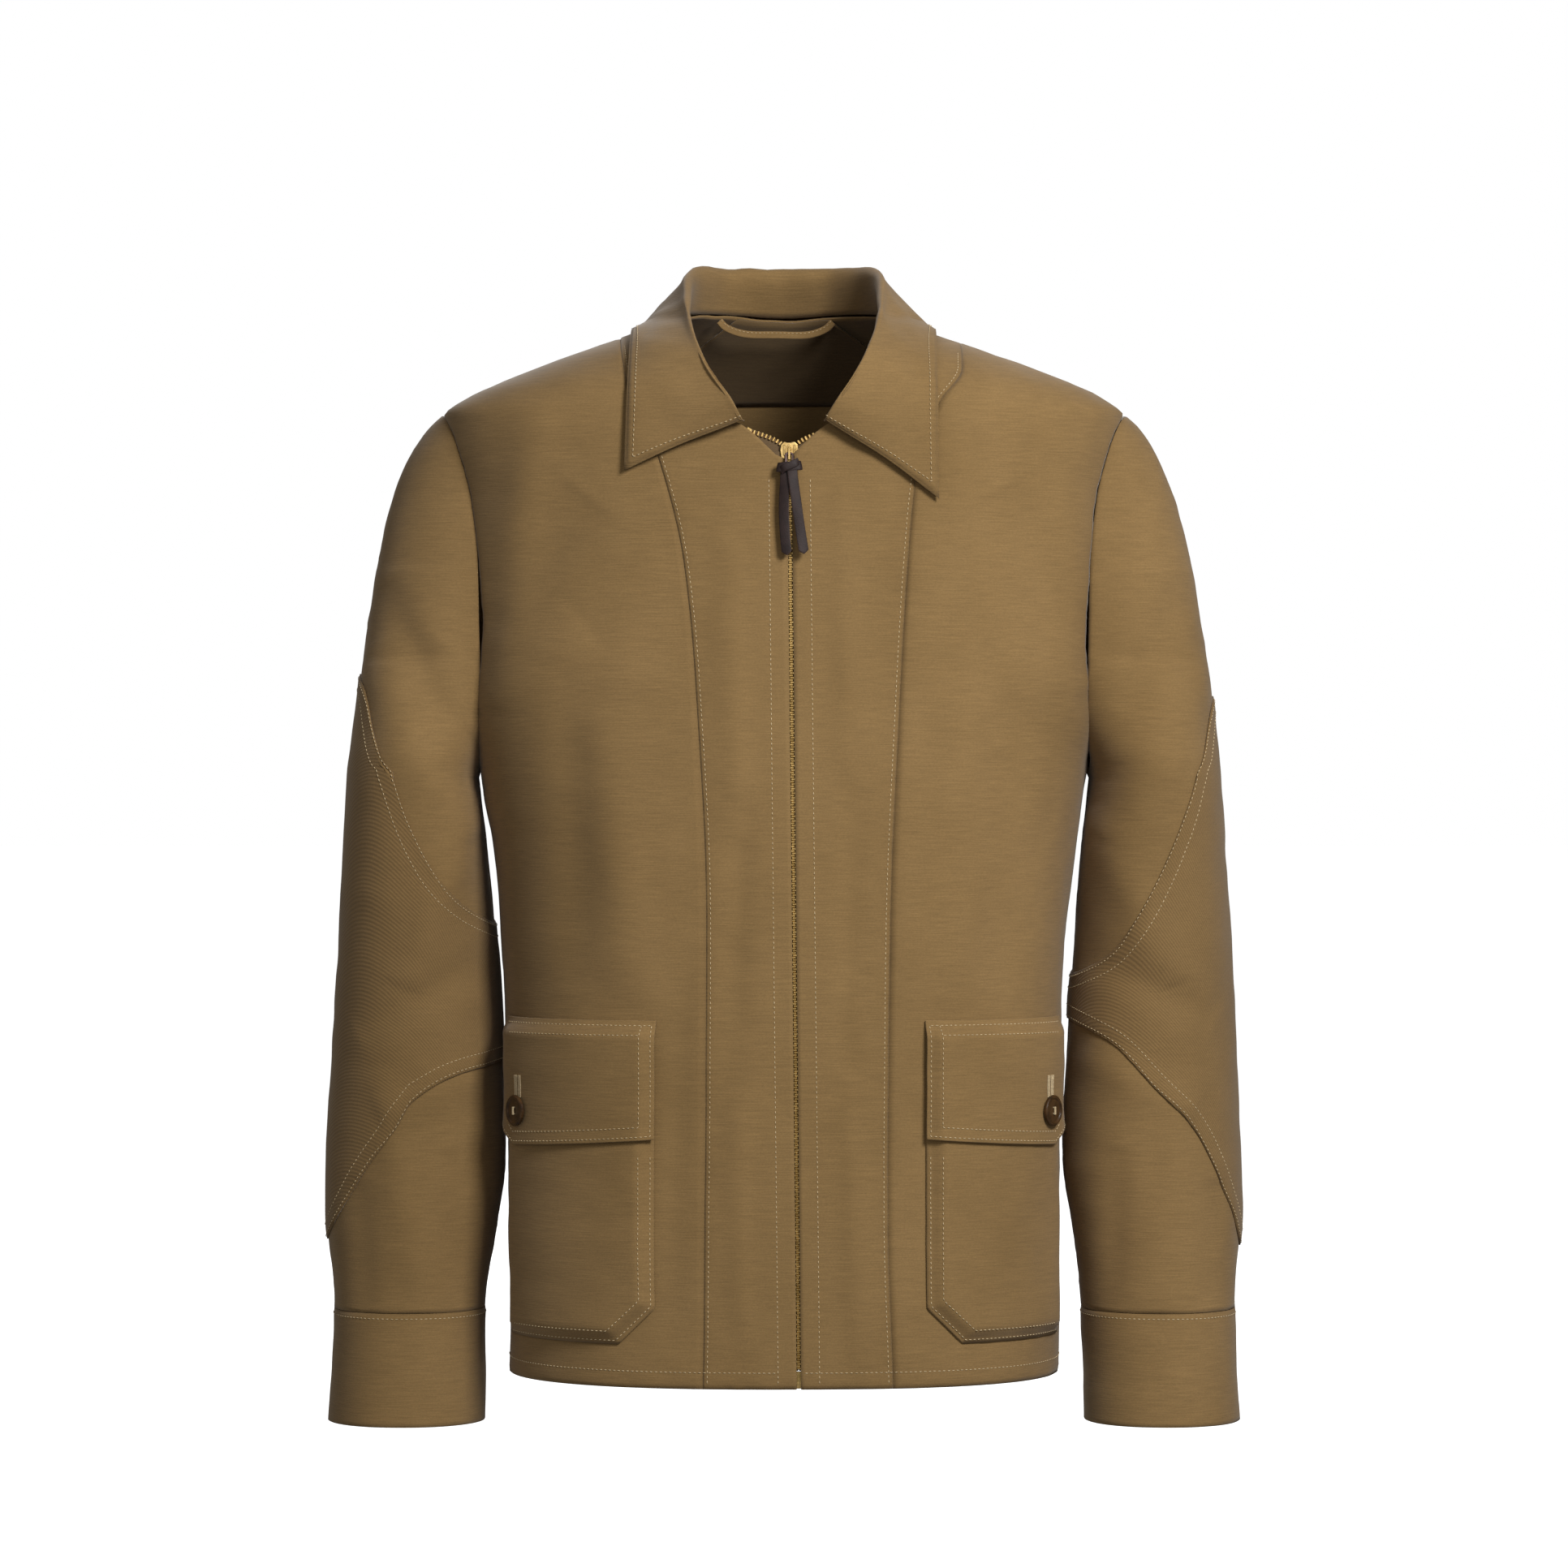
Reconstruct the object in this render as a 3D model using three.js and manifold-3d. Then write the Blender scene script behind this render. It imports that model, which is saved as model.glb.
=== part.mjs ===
// A beekeeping jacket in cotton drill: a zip front, a turned-down collar, set-in sleeves with elbow
// patches and cuffs, and two patch pockets with buttoned flaps.
// Millimetres. X is across the jacket, -Y is the front and +Z is up. The origin is the back neck seam.
// "left" and "right" are the wearer's, so the left side is at +X.
import * as THREE from "three";
import { mergeVertices } from "three/addons/utils/BufferGeometryUtils.js";
import Module from "manifold-3d";

const wasm = await Module();
wasm.setup();

// ---- Driving sizes ----
const cloth = 1.1; // a folded and pressed layer of drill
const gap = 0.3; // clearance between layers
const seam = 0.35; // clearance across a seam
const hemZ = -660; // hem of the body
const armpitZ = -290;
const cuffTopZ = -622;
const cuffBottomZ = -692;
const zipTopZ = -77; // where the zip ends at the neck
const sliderZ = -95; // middle of the slider, with the zip done up
const zipTopX = 3; // the front hangs a little askew, so the zip leans
const zipBottomX = 9;
const zipSlit = 2.6; // between the two folded front edges
const zipSlot = 1.1; // between the two halves of the chain
const frontTop = 110; // how far the front stands out at the top of the zip, and at the hem
const frontHem = 128;
const neckHalfWidth = 66;
const neckSideY = -26;
const neckBack = 60;
const vHalfWidth = 25; // the neck's V, where the fronts part above the slider
const vDepth = 19;
const backRise = 31.5; // height of the collar roll over the back neck seam
const pocket = {
  outer: 168,
  top: -438,
  flapDepth: 72,
  flapPoint: 78,
  bottom: -634,
  chamfer: 22,
  room: 6.5,
  hem: 4,
  mouthDrop: 22,
};
const pocketInner = { 1: 86, "-1": 78 };
const flapPlies = 1.7;
const button = { radius: 9.5, thick: 2.6, holeRadius: 0.95, holeSpacing: 3.8, x: 155, z: -495 };
const slit = { width: 3.6, above: 20, below: 5 }; // the buttonhole, measured from the button's middle
const loop = { width: 4.6, thick: 1.6, left: 31, right: -41, drop: 8, inset: 2.4, z: -1.8 };
const bodyColumns = 36;
const sleeveColumns = 18;

// ---- Shape of the body and the sleeves: values at heights, joined smoothly ----
function profile(knots) {
  return (z) => {
    let i = 0;
    while (i < knots.length - 2 && z < knots[i + 1][0]) i++;
    const [z0, v0] = knots[i];
    const [z1, v1] = knots[i + 1];
    const before = knots[Math.max(i - 1, 0)];
    const after = knots[Math.min(i + 2, knots.length - 1)];
    const t = Math.min(Math.max((z - z0) / (z1 - z0), 0), 1);
    const m0 = slope(before, knots[i], knots[i + 1]) * (z1 - z0);
    const m1 = slope(knots[i], knots[i + 1], after) * (z1 - z0);
    const u = 1 - t;
    return v0 * (1 + 2 * t) * u * u + v1 * t * t * (1 + 2 * u) + m0 * t * u * u - m1 * t * t * u;
  };
}

// The slope at the middle one of three knots, flat at a turning point so that nothing overshoots.
function slope(a, b, c) {
  const left = b === a ? (c[1] - b[1]) / (c[0] - b[0]) : (b[1] - a[1]) / (b[0] - a[0]);
  const right = c === b ? left : (c[1] - b[1]) / (c[0] - b[0]);
  return left * right <= 0 ? 0 : (2 * left * right) / (left + right);
}

const bodyWidth = profile([
  [4, 44], [0, 56], [-16, 98], [-36, 154], [-54, 197], [-67, 213], [-80, 212.5],
  [-119, 206], [-200, 204], [-290, 189], [-340, 181], [-440, 173.5], [-530, 171.5], [hemZ, 171.5],
]);
const neckDepth = profile([[4, 40], [0, 52], [-16, 74], [-36, 95], [-56, 106.5], [zipTopZ, frontTop]]);
const frontFall = (frontHem - frontTop) / (zipTopZ - hemZ); // the zip is straight, so the front is too
const frontDepth = (z) => (z > zipTopZ ? neckDepth(z) : frontTop + (zipTopZ - z) * frontFall);
const backDepth = profile([
  [4, 50], [0, 61], [-16, 84], [-36, 103], [-70, 116], [-120, 127], [-200, 132], [-350, 129], [hemZ, 124],
]);
const armholeX = profile([
  [-56, 219], [-67, 211], [-75, 206.5], [-89, 201], [-119, 193], [-160, 188.5], [-234, 187], [armpitZ, 190],
]);
const sleeveOuter = profile([
  [-56, 202], [-67, 216], [-79, 226.5], [-97, 237], [-122, 246], [-165, 256], [-226, 265], [-317, 274],
  [-440, 281], [-561, 286], [cuffTopZ, 282], [cuffBottomZ, 285],
]);
const sleeveInner = profile([
  [armpitZ, 191], [-340, 185.5], [-440, 178.5], [-530, 175.5], [-580, 182], [cuffTopZ, 186.5], [cuffBottomZ, 188],
]);
const sleeveDepth = profile([
  [-160, 57], [-230, 66], [armpitZ, 70], [-400, 66], [-530, 60], [cuffTopZ, 55], [cuffBottomZ, 53],
]);
const sleeveCentreY = profile([[armpitZ, 0], [-440, 12], [-560, 8], [cuffBottomZ, 2]]);
const bodyPower = 2.45; // 2 would be an ellipse, and more is squarer
const sleevePower = 2.2;
const capCentre = profile([[-60, 150], [-160, 188.5]]);

const zipLine = (z) => zipTopX + ((zipBottomX - zipTopX) * (zipTopZ - z)) / (zipTopZ - hemZ);
const roundOff = (share, power) => (1 - Math.min(Math.abs(share), 1) ** power) ** (1 / power);
const frontY = (x, z) => -frontDepth(z) * roundOff(x / bodyWidth(z), bodyPower);
const backY = (x, z) => backDepth(z) * roundOff(x / bodyWidth(z), bodyPower);

// One point of a rounded section: the angle runs anticlockwise from +X as seen from above.
function sectionPoint(angle, z, s) {
  const c = Math.cos(angle);
  const y = Math.sin(angle);
  const across = Math.sign(c) * Math.abs(c) ** (2 / s.power) * s.width;
  const along = Math.sign(y) * Math.abs(y) ** (2 / s.power) * (y < 0 ? s.front : s.back);
  return new THREE.Vector3(s.x + across, s.y + along, z);
}

function bodySection(z) {
  return { x: 0, y: 0, width: bodyWidth(z), front: frontDepth(z), back: backDepth(z), power: bodyPower };
}

// Above the armpit a sleeve's section meets the body's at the armhole, at the same depth.
function sleeveSection(z) {
  const s = { power: sleevePower, y: z < armpitZ ? sleeveCentreY(z) : 0 };
  const outer = sleeveOuter(z);
  if (z <= armpitZ) {
    s.width = (outer - sleeveInner(z)) / 2;
    s.x = (outer + sleeveInner(z)) / 2;
    s.front = s.back = sleeveDepth(z);
    return s;
  }
  const x = armholeX(z);
  const depths = [-frontY(x, z), backY(x, z)];
  if (z > -160) {
    s.x = capCentre(z);
    s.width = outer - s.x;
    [s.front, s.back] = depths.map((d) => d / roundOff((x - s.x) / s.width, sleevePower));
    return s;
  }
  const reach = depths.map((d) => roundOff(Math.min(d / sleeveDepth(z), 1), sleevePower));
  s.width = (outer - x) / (1 + (reach[0] + reach[1]) / 2);
  s.x = outer - s.width;
  const share = roundOff((s.x - x) / s.width, sleevePower);
  [s.front, s.back] = depths.map((d) => (share > 0.35 ? d / share : sleeveDepth(z)));
  return s;
}

// ---- Layers: a grid of surface points with normals, thickened between two offsets ----
function tubeGrid(section, heights, columns) {
  const turn = (2 * Math.PI) / columns;
  const grid = heights.map((z) => {
    const s = section(z);
    return Array.from({ length: columns }, (_, i) => sectionPoint(i * turn, z, s));
  });
  return { points: grid, normals: gridNormals(grid, true), wraps: true };
}

function gridNormals(grid, wraps) {
  const last = grid[0].length - 1;
  return grid.map((row, j) =>
    row.map((_, i) => {
      const left = wraps ? (i + last) % (last + 1) : Math.max(i - 1, 0);
      const right = wraps ? (i + 1) % (last + 1) : Math.min(i + 1, last);
      const along = row[right].clone().sub(row[left]);
      const up = grid[Math.max(j - 1, 0)][i].clone().sub(grid[Math.min(j + 1, grid.length - 1)][i]);
      return along.cross(up).normalize();
    }),
  );
}

// The solid between two offsets of a grid: rows run downwards and columns anticlockwise.
function layer(grid, inner, outer) {
  const rows = grid.points.length;
  const columns = grid.points[0].length;
  const spans = grid.wraps ? columns : columns - 1;
  const positions = [];
  for (const offset of [outer, inner]) {
    grid.points.forEach((row, j) =>
      row.forEach((p, i) => positions.push(...p.clone().addScaledVector(grid.normals[j][i], offset).toArray())),
    );
  }
  const at = (side, j, i) => side * rows * columns + j * columns + (i % columns);
  const triangles = [];
  const quad = (a, b, c, d) => triangles.push(a, b, c, a, c, d);
  for (let j = 0; j < rows - 1; j++) {
    for (let i = 0; i < spans; i++) {
      quad(at(0, j, i), at(0, j + 1, i), at(0, j + 1, i + 1), at(0, j, i + 1));
      quad(at(1, j, i), at(1, j, i + 1), at(1, j + 1, i + 1), at(1, j + 1, i));
    }
  }
  for (let i = 0; i < spans; i++) {
    quad(at(0, 0, i), at(0, 0, i + 1), at(1, 0, i + 1), at(1, 0, i));
    quad(at(1, rows - 1, i), at(1, rows - 1, i + 1), at(0, rows - 1, i + 1), at(0, rows - 1, i));
  }
  if (!grid.wraps) {
    for (let j = 0; j < rows - 1; j++) {
      quad(at(0, j, 0), at(1, j, 0), at(1, j + 1, 0), at(0, j + 1, 0));
      quad(at(1, j, columns - 1), at(0, j, columns - 1), at(0, j + 1, columns - 1), at(1, j + 1, columns - 1));
    }
  }
  const geometry = new THREE.BufferGeometry();
  geometry.setAttribute("position", new THREE.Float32BufferAttribute(positions, 3));
  geometry.setIndex(triangles);
  return solid(geometry);
}

function solid(geometry) {
  const bare = new THREE.BufferGeometry();
  bare.setAttribute("position", geometry.getAttribute("position"));
  if (geometry.index) bare.setIndex(geometry.index);
  const merged = mergeVertices(bare, 1e-4);
  const mesh = new wasm.Mesh({
    numProp: 3,
    vertProperties: new Float32Array(merged.attributes.position.array),
    triVerts: new Uint32Array(merged.index.array),
  });
  return new wasm.Manifold(mesh);
}

// ---- Cutters ----
const reachY = 220; // further than any cloth lies from the middle plane
const below = hemZ - 20;
const above = 40;

// A front-view outline in X and Z, pushed through from one depth to another.
function cutter(outline, fromY = -reachY, toY = reachY) {
  const shape = new THREE.Shape(outline.map(([x, z]) => new THREE.Vector2(x, z)));
  const geometry = new THREE.ExtrudeGeometry(shape, { depth: toY - fromY, bevelEnabled: false });
  geometry.rotateX(Math.PI / 2);
  geometry.translate(0, toY, 0);
  return solid(geometry);
}

function cylinder(radius, height, segments = 16) {
  const geometry = new THREE.CylinderGeometry(radius, radius, height, segments);
  geometry.rotateX(Math.PI / 2);
  return solid(geometry);
}

function block(x0, x1, y0, y1, z0, z1) {
  const geometry = new THREE.BoxGeometry(x1 - x0, y1 - y0, z1 - z0);
  geometry.translate((x0 + x1) / 2, (y0 + y1) / 2, (z0 + z1) / 2);
  return solid(geometry);
}

// A line down the jacket, x as a function of z, as outline points from one height to another.
function downLine(x, zTop, zBottom, steps = 14) {
  return Array.from({ length: steps + 1 }, (_, i) => {
    const z = zTop + ((zBottom - zTop) * i) / steps;
    return [x(z), z];
  });
}

const steps = (from, to, count) => Array.from({ length: count + 1 }, (_, i) => from + ((to - from) * i) / count);

// ---- The group, its materials and the mirrored pairs ----
const jacket = new THREE.Group();
jacket.name = "beekeeping_jacket";

const finish = (color, roughness, metalness = 0) => new THREE.MeshStandardMaterial({ color, roughness, metalness });
const finishes = {
  drill: finish(0x8a6d45, 0.9),
  patch: finish(0x8a6c43, 0.9),
  inside: finish(0x5b4529, 0.95),
  tape: finish(0x6f5636, 0.9),
  brass: finish(0xb08d3e, 0.35, 1),
  leather: finish(0x2d2220, 0.6),
  horn: finish(0x2a1c10, 0.4),
  thread: finish(0xd8c48e, 0.8),
  label: finish(0x1f2130, 0.8),
};

function add(name, made, slot) {
  const mesh = made.getMesh();
  const geometry = new THREE.BufferGeometry();
  geometry.setAttribute("position", new THREE.BufferAttribute(mesh.vertProperties, 3));
  geometry.setIndex(new THREE.BufferAttribute(mesh.triVerts, 1));
  geometry.computeVertexNormals();
  const piece = new THREE.Mesh(geometry, finishes[slot]);
  piece.name = name;
  jacket.add(piece);
}

// Makes a piece for each side: side is +1 on the wearer's left and -1 on the right.
function addPair(name, make, slot) {
  for (const side of [1, -1]) add((side > 0 ? "left_" : "right_") + name, make(side), slot);
}

const flip = (made, side) => (side > 0 ? made : made.mirror([1, 0, 0]));

// ---- Body ----
const shoulderHeights = [4, -2, -9, -16, -24, -32, -40, -48, -56, -67, -78];
const bodyHeights = [...shoulderHeights, -95, -119, -160, -220, armpitZ, -350, -440, -550, hemZ];
const bodyGrid = tubeGrid(bodySection, bodyHeights, bodyColumns);

// The ends of the outlines that cut the body lie beyond its sides.
const sideReach = 240;
const liningInner = -2.5; // linings lie just inside the cloth
const liningOuter = -1.4;

// The front neckline in the front view, from the shoulder down to the top of the zip.
const neckline = [[neckHalfWidth, -6], [64, -30], [58, -53], [45, -69], [vHalfWidth + 1, zipTopZ]];

// The neck is cut straight down behind the shoulders and straight through in front of them.
function neckHole() {
  const shape = new THREE.Shape();
  shape.absellipse(0, neckSideY, neckHalfWidth, neckBack - neckSideY, 0, 2 * Math.PI);
  const down = new THREE.ExtrudeGeometry(shape, { depth: 200, bevelEnabled: false, curveSegments: 28 });
  down.translate(0, 0, -150);
  const behind = solid(down).intersect(block(-200, 200, neckSideY, 200, -150, 60));
  const side = neckline.map(([x, z]) => [x, z]);
  const mirrored = side.map(([x, z]) => [-x, z]).reverse();
  const vee = [[zipLine(sliderZ), zipTopZ - vDepth]];
  const outline = [[neckHalfWidth, above], ...side, ...vee, ...mirrored, [-neckHalfWidth, above]];
  const through = cutter(outline, -reachY, neckSideY);
  return behind.add(through);
}

// Everything between the two armholes, which are curves in the front view.
function betweenArmholes(inset) {
  const edge = downLine((z) => armholeX(z) - inset, -56, armpitZ, 16);
  const outer = [[219 - inset, 40], ...edge, [230, armpitZ], [230, hemZ - 20]];
  const other = outer.map(([x, z]) => [-x, z]).reverse();
  return cutter([...outer, ...other].reverse());
}

const princess = {
  1: profile([[0, 110], [-40, 109], [-64, 94], [-117, 79], [-250, 70], [-400, 64], [-560, 63], [hemZ, 66]]),
  "-1": profile([[0, 104], [-40, 98], [-92, 78], [-160, 61], [-230, 54], [-380, 47], [-560, 48], [hemZ, 49]]),
};

function bodyLayer(inner, outer) {
  return layer(bodyGrid, inner, outer).subtract(neckHole()).intersect(betweenArmholes(seam / 2));
}

function centreFront(side, shell) {
  const edge = downLine((z) => side * zipLine(z) + zipSlit / 2, above, below, 1);
  const sewn = downLine((z) => princess[side](z) - seam / 2, above, below, 20).reverse();
  return shell.intersect(flip(cutter([...edge, ...sewn], -reachY, -seam / 2), side));
}

function sideFront(side, shell) {
  const sewn = downLine((z) => princess[side](z) + seam / 2, above, below, 20);
  return shell.intersect(flip(cutter([...sewn, [sideReach, below], [sideReach, above]], -reachY, -seam / 2), side));
}

const bodyShell = bodyLayer(-cloth, 0);
addPair("centre_front", (side) => centreFront(side, bodyShell), "drill");
addPair("side_front", (side) => sideFront(side, bodyShell), "drill");
add("back_panel", bodyShell.intersect(block(-sideReach, sideReach, seam / 2, reachY, below, above)), "drill");

// ---- Sleeves ----
const capHeights = [-66.5, -72, -79, -88, -100, -119, -140, -160];
const armHeights = [...capHeights, -200, -245, -270, armpitZ, -340, -390, -440, -490, -530, -575, cuffTopZ + seam];
const sleeveGrid = tubeGrid(sleeveSection, armHeights, sleeveColumns);
const cuffGrid = tubeGrid(sleeveSection, [cuffTopZ, -650, cuffBottomZ], sleeveColumns);

function outsideArmhole() {
  const edge = downLine((z) => armholeX(z) + seam / 2, -56, armpitZ, 16);
  const inner = [[219, 40], ...edge, [150, armpitZ], [150, cuffBottomZ - 20]];
  return cutter([...inner, [330, cuffBottomZ - 20], [330, 40]]);
}

const sleeveShell = layer(sleeveGrid, -cloth, 0).intersect(outsideArmhole());
const sleeveFront = sleeveShell.intersect(block(150, 330, -reachY, -seam / 2, cuffBottomZ, 0));
const sleeveBack = sleeveShell.intersect(block(150, 330, seam / 2, reachY, cuffBottomZ, 0));
addPair("sleeve_front", (side) => flip(sleeveFront, side), "drill");
addPair("sleeve_back", (side) => flip(sleeveBack, side), "drill");
addPair("cuff", (side) => flip(layer(cuffGrid, -cloth, cloth), side), "drill");

// The elbow patch wraps the arm: tall down the outer arm and short at the inner seam.
const elbowShape = {
  1: [
    [290, -240], [270, -248], [241, -303], [206, -366], [168, -414],
    [168, -442], [206, -480], [236, -508], [267, -551], [290, -584],
  ],
  "-1": [
    [290, -226], [256, -237], [228, -280], [201, -322], [170, -382],
    [170, -468], [197, -486], [216, -507], [243, -534], [290, -580],
  ],
};
const patchLayer = layer(sleeveGrid, gap, gap + cloth);
addPair("elbow_patch", (side) => flip(patchLayer.intersect(cutter([...elbowShape[side]].reverse())), side), "patch");

// ---- Linings of the edges ----
add("back_neck_facing", bodyLayer(liningInner, liningOuter).intersect(block(-82, 82, 0, reachY, -52, above)), "inside");
const hemDepth = 12;
const hemBand = bodyLayer(liningInner, liningOuter).intersect(
  block(-sideReach, sideReach, -reachY, reachY, below, hemZ + hemDepth),
);
add("hem_band", hemBand.subtract(block(-36, 42, -reachY, 0, below, above)), "inside");

const facing = { from: 9.6, to: 34, inner: -4.8, outer: -3.6 };
function zipFacing(side) {
  const near = downLine((z) => side * zipLine(z) + facing.from, zipTopZ - vDepth, below, 1);
  const far = downLine((z) => side * zipLine(z) + facing.to, zipTopZ - vDepth, below, 1).reverse();
  return bodyLayer(facing.inner, facing.outer).intersect(flip(cutter([...near, ...far], -reachY, 0), side));
}
addPair("zip_facing", zipFacing, "inside");

// ---- Collar: a stand that rises from the neck seam, rolls over and falls to a pointed leaf ----
const collarSteps = 11; // from the back middle to the front end
const collarAcross = 9; // from the neck seam over the roll to the edge
const collarPly = 0.66;
const rollRadius = 4.4;
const fallClearance = 3.2; // from the body to the middle of the collar's fall
const leafTip = { 1: [94, -122], "-1": [97, -105] };
const shoulderEdge = { x: 93, z: -11 }; // the collar's edge where it crosses the shoulder
const backEdge = { centreY: 4, reach: 82, lift: 4 }; // its edge behind the neck is a half oval
const shoulderShare = 0.45; // how far along the collar the shoulder lies

// Height of the body's surface above a point of the plan.
function surfaceZ(x, y) {
  let [low, high] = [-200, 4];
  for (let i = 0; i < 30; i++) {
    const z = (low + high) / 2;
    const reach = y < 0 ? frontDepth(z) : backDepth(z);
    const inside = Math.abs(x / bodyWidth(z)) ** bodyPower + Math.abs(y / reach) ** bodyPower < 1;
    if (inside) low = z;
    else high = z;
  }
  return low;
}

const smooth = (points) => new THREE.CatmullRomCurve3(points.map((p) => new THREE.Vector3(...p)));
const neckFrontCurve = smooth(neckline.map(([x, z]) => [x, frontY(x, z), z]));
const rollCurve = smooth([
  [0, 54, backRise], [34, 44, backRise - 0.5], [57, 10, 28], [61, -42, 9], [57, -88, -15],
  [48, -115, -38], [34, -124, -60], [vHalfWidth, -frontTop - 9, zipTopZ + 2],
]);

// One station across the collar, share 0 at the back middle and 1 at the front end.
function collarStation(share, side) {
  const behind = share < shoulderShare;
  const turn = (share / shoulderShare) * (Math.PI / 2);
  const planX = neckHalfWidth * Math.sin(turn);
  const planY = neckSideY + (neckBack - neckSideY) * Math.cos(turn);
  const seamPoint = behind
    ? new THREE.Vector3(planX, planY, surfaceZ(planX, planY))
    : neckFrontCurve.getPoint((share - shoulderShare) / (1 - shoulderShare));
  seamPoint.z += 1.2;
  if (!behind) {
    const forward = Math.min((share - shoulderShare) * 20, 1);
    seamPoint.add(new THREE.Vector3(-2, -2.4, 0.5).multiplyScalar(forward));
  }
  const roll = rollCurve.getPoint(share);
  const [tipX, tipZ] = leafTip[side];
  const edge = new THREE.Vector3();
  if (behind) {
    edge.set(shoulderEdge.x * Math.sin(turn), backEdge.centreY + backEdge.reach * Math.cos(turn), 0);
    edge.z = surfaceZ(edge.x, edge.y) + backEdge.lift;
  } else {
    const down = (share - shoulderShare) / (1 - shoulderShare);
    const drop = (tipZ - shoulderEdge.z) * down ** 1.5;
    edge.set(shoulderEdge.x + (tipX - shoulderEdge.x) * down, 0, shoulderEdge.z + drop);
    edge.y = frontY(edge.x, edge.z) - backEdge.lift + backEdge.lift * Math.max(0, 1 - down * 8);
  }
  // Behind the neck the roll is an upright fold. In front it lies down on the chest.
  const upright = behind ? 1 : Math.max(0, 1 - (share - shoulderShare) * 4);
  const out = edge.clone().sub(seamPoint).setZ(0).normalize().multiplyScalar(rollRadius);
  const inner = roll.clone().add(seamPoint.clone().sub(roll).setLength(rollRadius));
  inner.lerp(roll.clone().sub(out).setZ(roll.z - rollRadius), upright);
  const outer = roll.clone().add(edge.clone().sub(roll).setLength(rollRadius));
  outer.lerp(roll.clone().add(out).setZ(roll.z - rollRadius), upright);
  const middle = roll.clone().lerp(edge, 0.5).addScaledVector(out, 0.7);
  const curve = new THREE.CatmullRomCurve3([seamPoint, inner, roll, outer, middle, edge]);
  return curve.getPoints(collarAcross).map((p, i) => (i < 4 ? p : liftClear(p, fallClearance)));
}

// How far a point lies outside the body's surface, near that surface.
function outside(p) {
  const reach = (q) => {
    const depth = q.y < 0 ? frontDepth(q.z) : backDepth(q.z);
    return (Math.abs(q.x / bodyWidth(q.z)) ** bodyPower + Math.abs(q.y / depth) ** bodyPower) ** (1 / bodyPower);
  };
  const step = 0.5;
  const slopes = ["x", "y", "z"].map((axis) => {
    const ahead = p.clone();
    ahead[axis] += step;
    const back = p.clone();
    back[axis] -= step;
    return (reach(ahead) - reach(back)) / (2 * step);
  });
  const normal = new THREE.Vector3(...slopes);
  const steepness = normal.length();
  return { distance: (reach(p) - 1) / steepness, normal: normal.divideScalar(steepness) };
}

function liftClear(p, clearance) {
  for (let i = 0; i < 4; i++) {
    const { distance, normal } = outside(p);
    if (distance < clearance) p.addScaledVector(normal, clearance - distance);
  }
  return p;
}

function collarGrid() {
  const shares = steps(0, 1, collarSteps);
  const stations = [
    ...shares.slice(1).reverse().map((s) => collarStation(s, -1).map((p) => new THREE.Vector3(-p.x, p.y, p.z))),
    ...shares.map((s) => collarStation(s, 1)),
  ];
  const points = steps(0, collarAcross, collarAcross).map((j) => stations.map((station) => station[j]));
  return { points, normals: gridNormals(points, false), wraps: false };
}
const collarPoints = collarGrid();
add("top_collar", layer(collarPoints, -gap / 2 - collarPly, -gap / 2), "drill");
add("under_collar", layer(collarPoints, gap / 2, gap / 2 + collarPly), "drill");

// ---- Zip: a frame on the front line, with X across, Y into the cloth and Z up along the zip ----
const zipTop = new THREE.Vector3(zipLine(sliderZ), -frontDepth(sliderZ), sliderZ);
const zipFoot = new THREE.Vector3(zipLine(hemZ), -frontDepth(hemZ), hemZ);
const zipLength = zipTop.distanceTo(zipFoot);
const zipUp = zipTop.clone().sub(zipFoot).normalize();
const zipAcross = new THREE.Vector3(0, 1, 0).cross(zipUp).normalize();
const zipFrame = new THREE.Matrix4().makeBasis(zipAcross, zipUp.clone().cross(zipAcross), zipUp).setPosition(zipTop);

const onZip = (made) => made.transform(zipFrame.elements);

const slider = {
  length: 15,
  plate: 0.8,
  halfTop: 5.4,
  halfFoot: 4.4,
  front: 2.1,
  mouth: 3.2,
  web: 0.5,
  flange: 0.7,
};
const chainFront = slider.front + slider.plate + gap;
const chain = { inner: zipSlot / 2, outer: 3, front: chainFront, back: chainFront + slider.mouth - 2 * gap };
const tape = { thick: 0.8, outer: 14 };
const boxSize = { height: 11, half: 4.6 };
const crownSize = { half: 0.8, front: -3.3, reach: 4.1 };
const eyeHalf = 1.1; // the eye in the crown that the pull turns in
const pullAxis = -1.25; // depth of the pull's pivot: it turns in the slider's crown, clear of the cloth
const channelBack = slider.front + slider.plate + slider.mouth;

// A flat shape in the zip's X and Z, between two depths.
function zipPlate(outline, fromY, toY) {
  const clockwise = THREE.ShapeUtils.isClockWise(outline.map(([x, z]) => new THREE.Vector2(x, z)));
  return cutter(clockwise ? [...outline].reverse() : outline, fromY, toY);
}

// One half of the chain runs straight up to the slider, then bends out along the neck's V.
function chainHalf(side) {
  const foot = -zipLength + boxSize.height;
  const wide = chain.outer - chain.inner;
  const bend = new THREE.QuadraticBezierCurve(
    new THREE.Vector2(chain.inner, slider.length / 2 - 6),
    new THREE.Vector2(chain.inner + 1, slider.length / 2 + 2),
    new THREE.Vector2(vHalfWidth - 3, vDepth - 4),
  );
  const near = [];
  const far = [];
  for (const t of steps(0, 1, 8)) {
    const p = bend.getPoint(t);
    const along = bend.getTangent(t);
    near.push([p.x, p.y]);
    far.push([p.x + along.y * wide, p.y - along.x * wide]);
  }
  const outline = [[chain.inner, foot], ...near, ...far.reverse(), [chain.outer, foot]];
  return onZip(flip(zipPlate(outline, chain.front, chain.back), side));
}
addPair("zip_chain", chainHalf, "brass");

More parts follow.
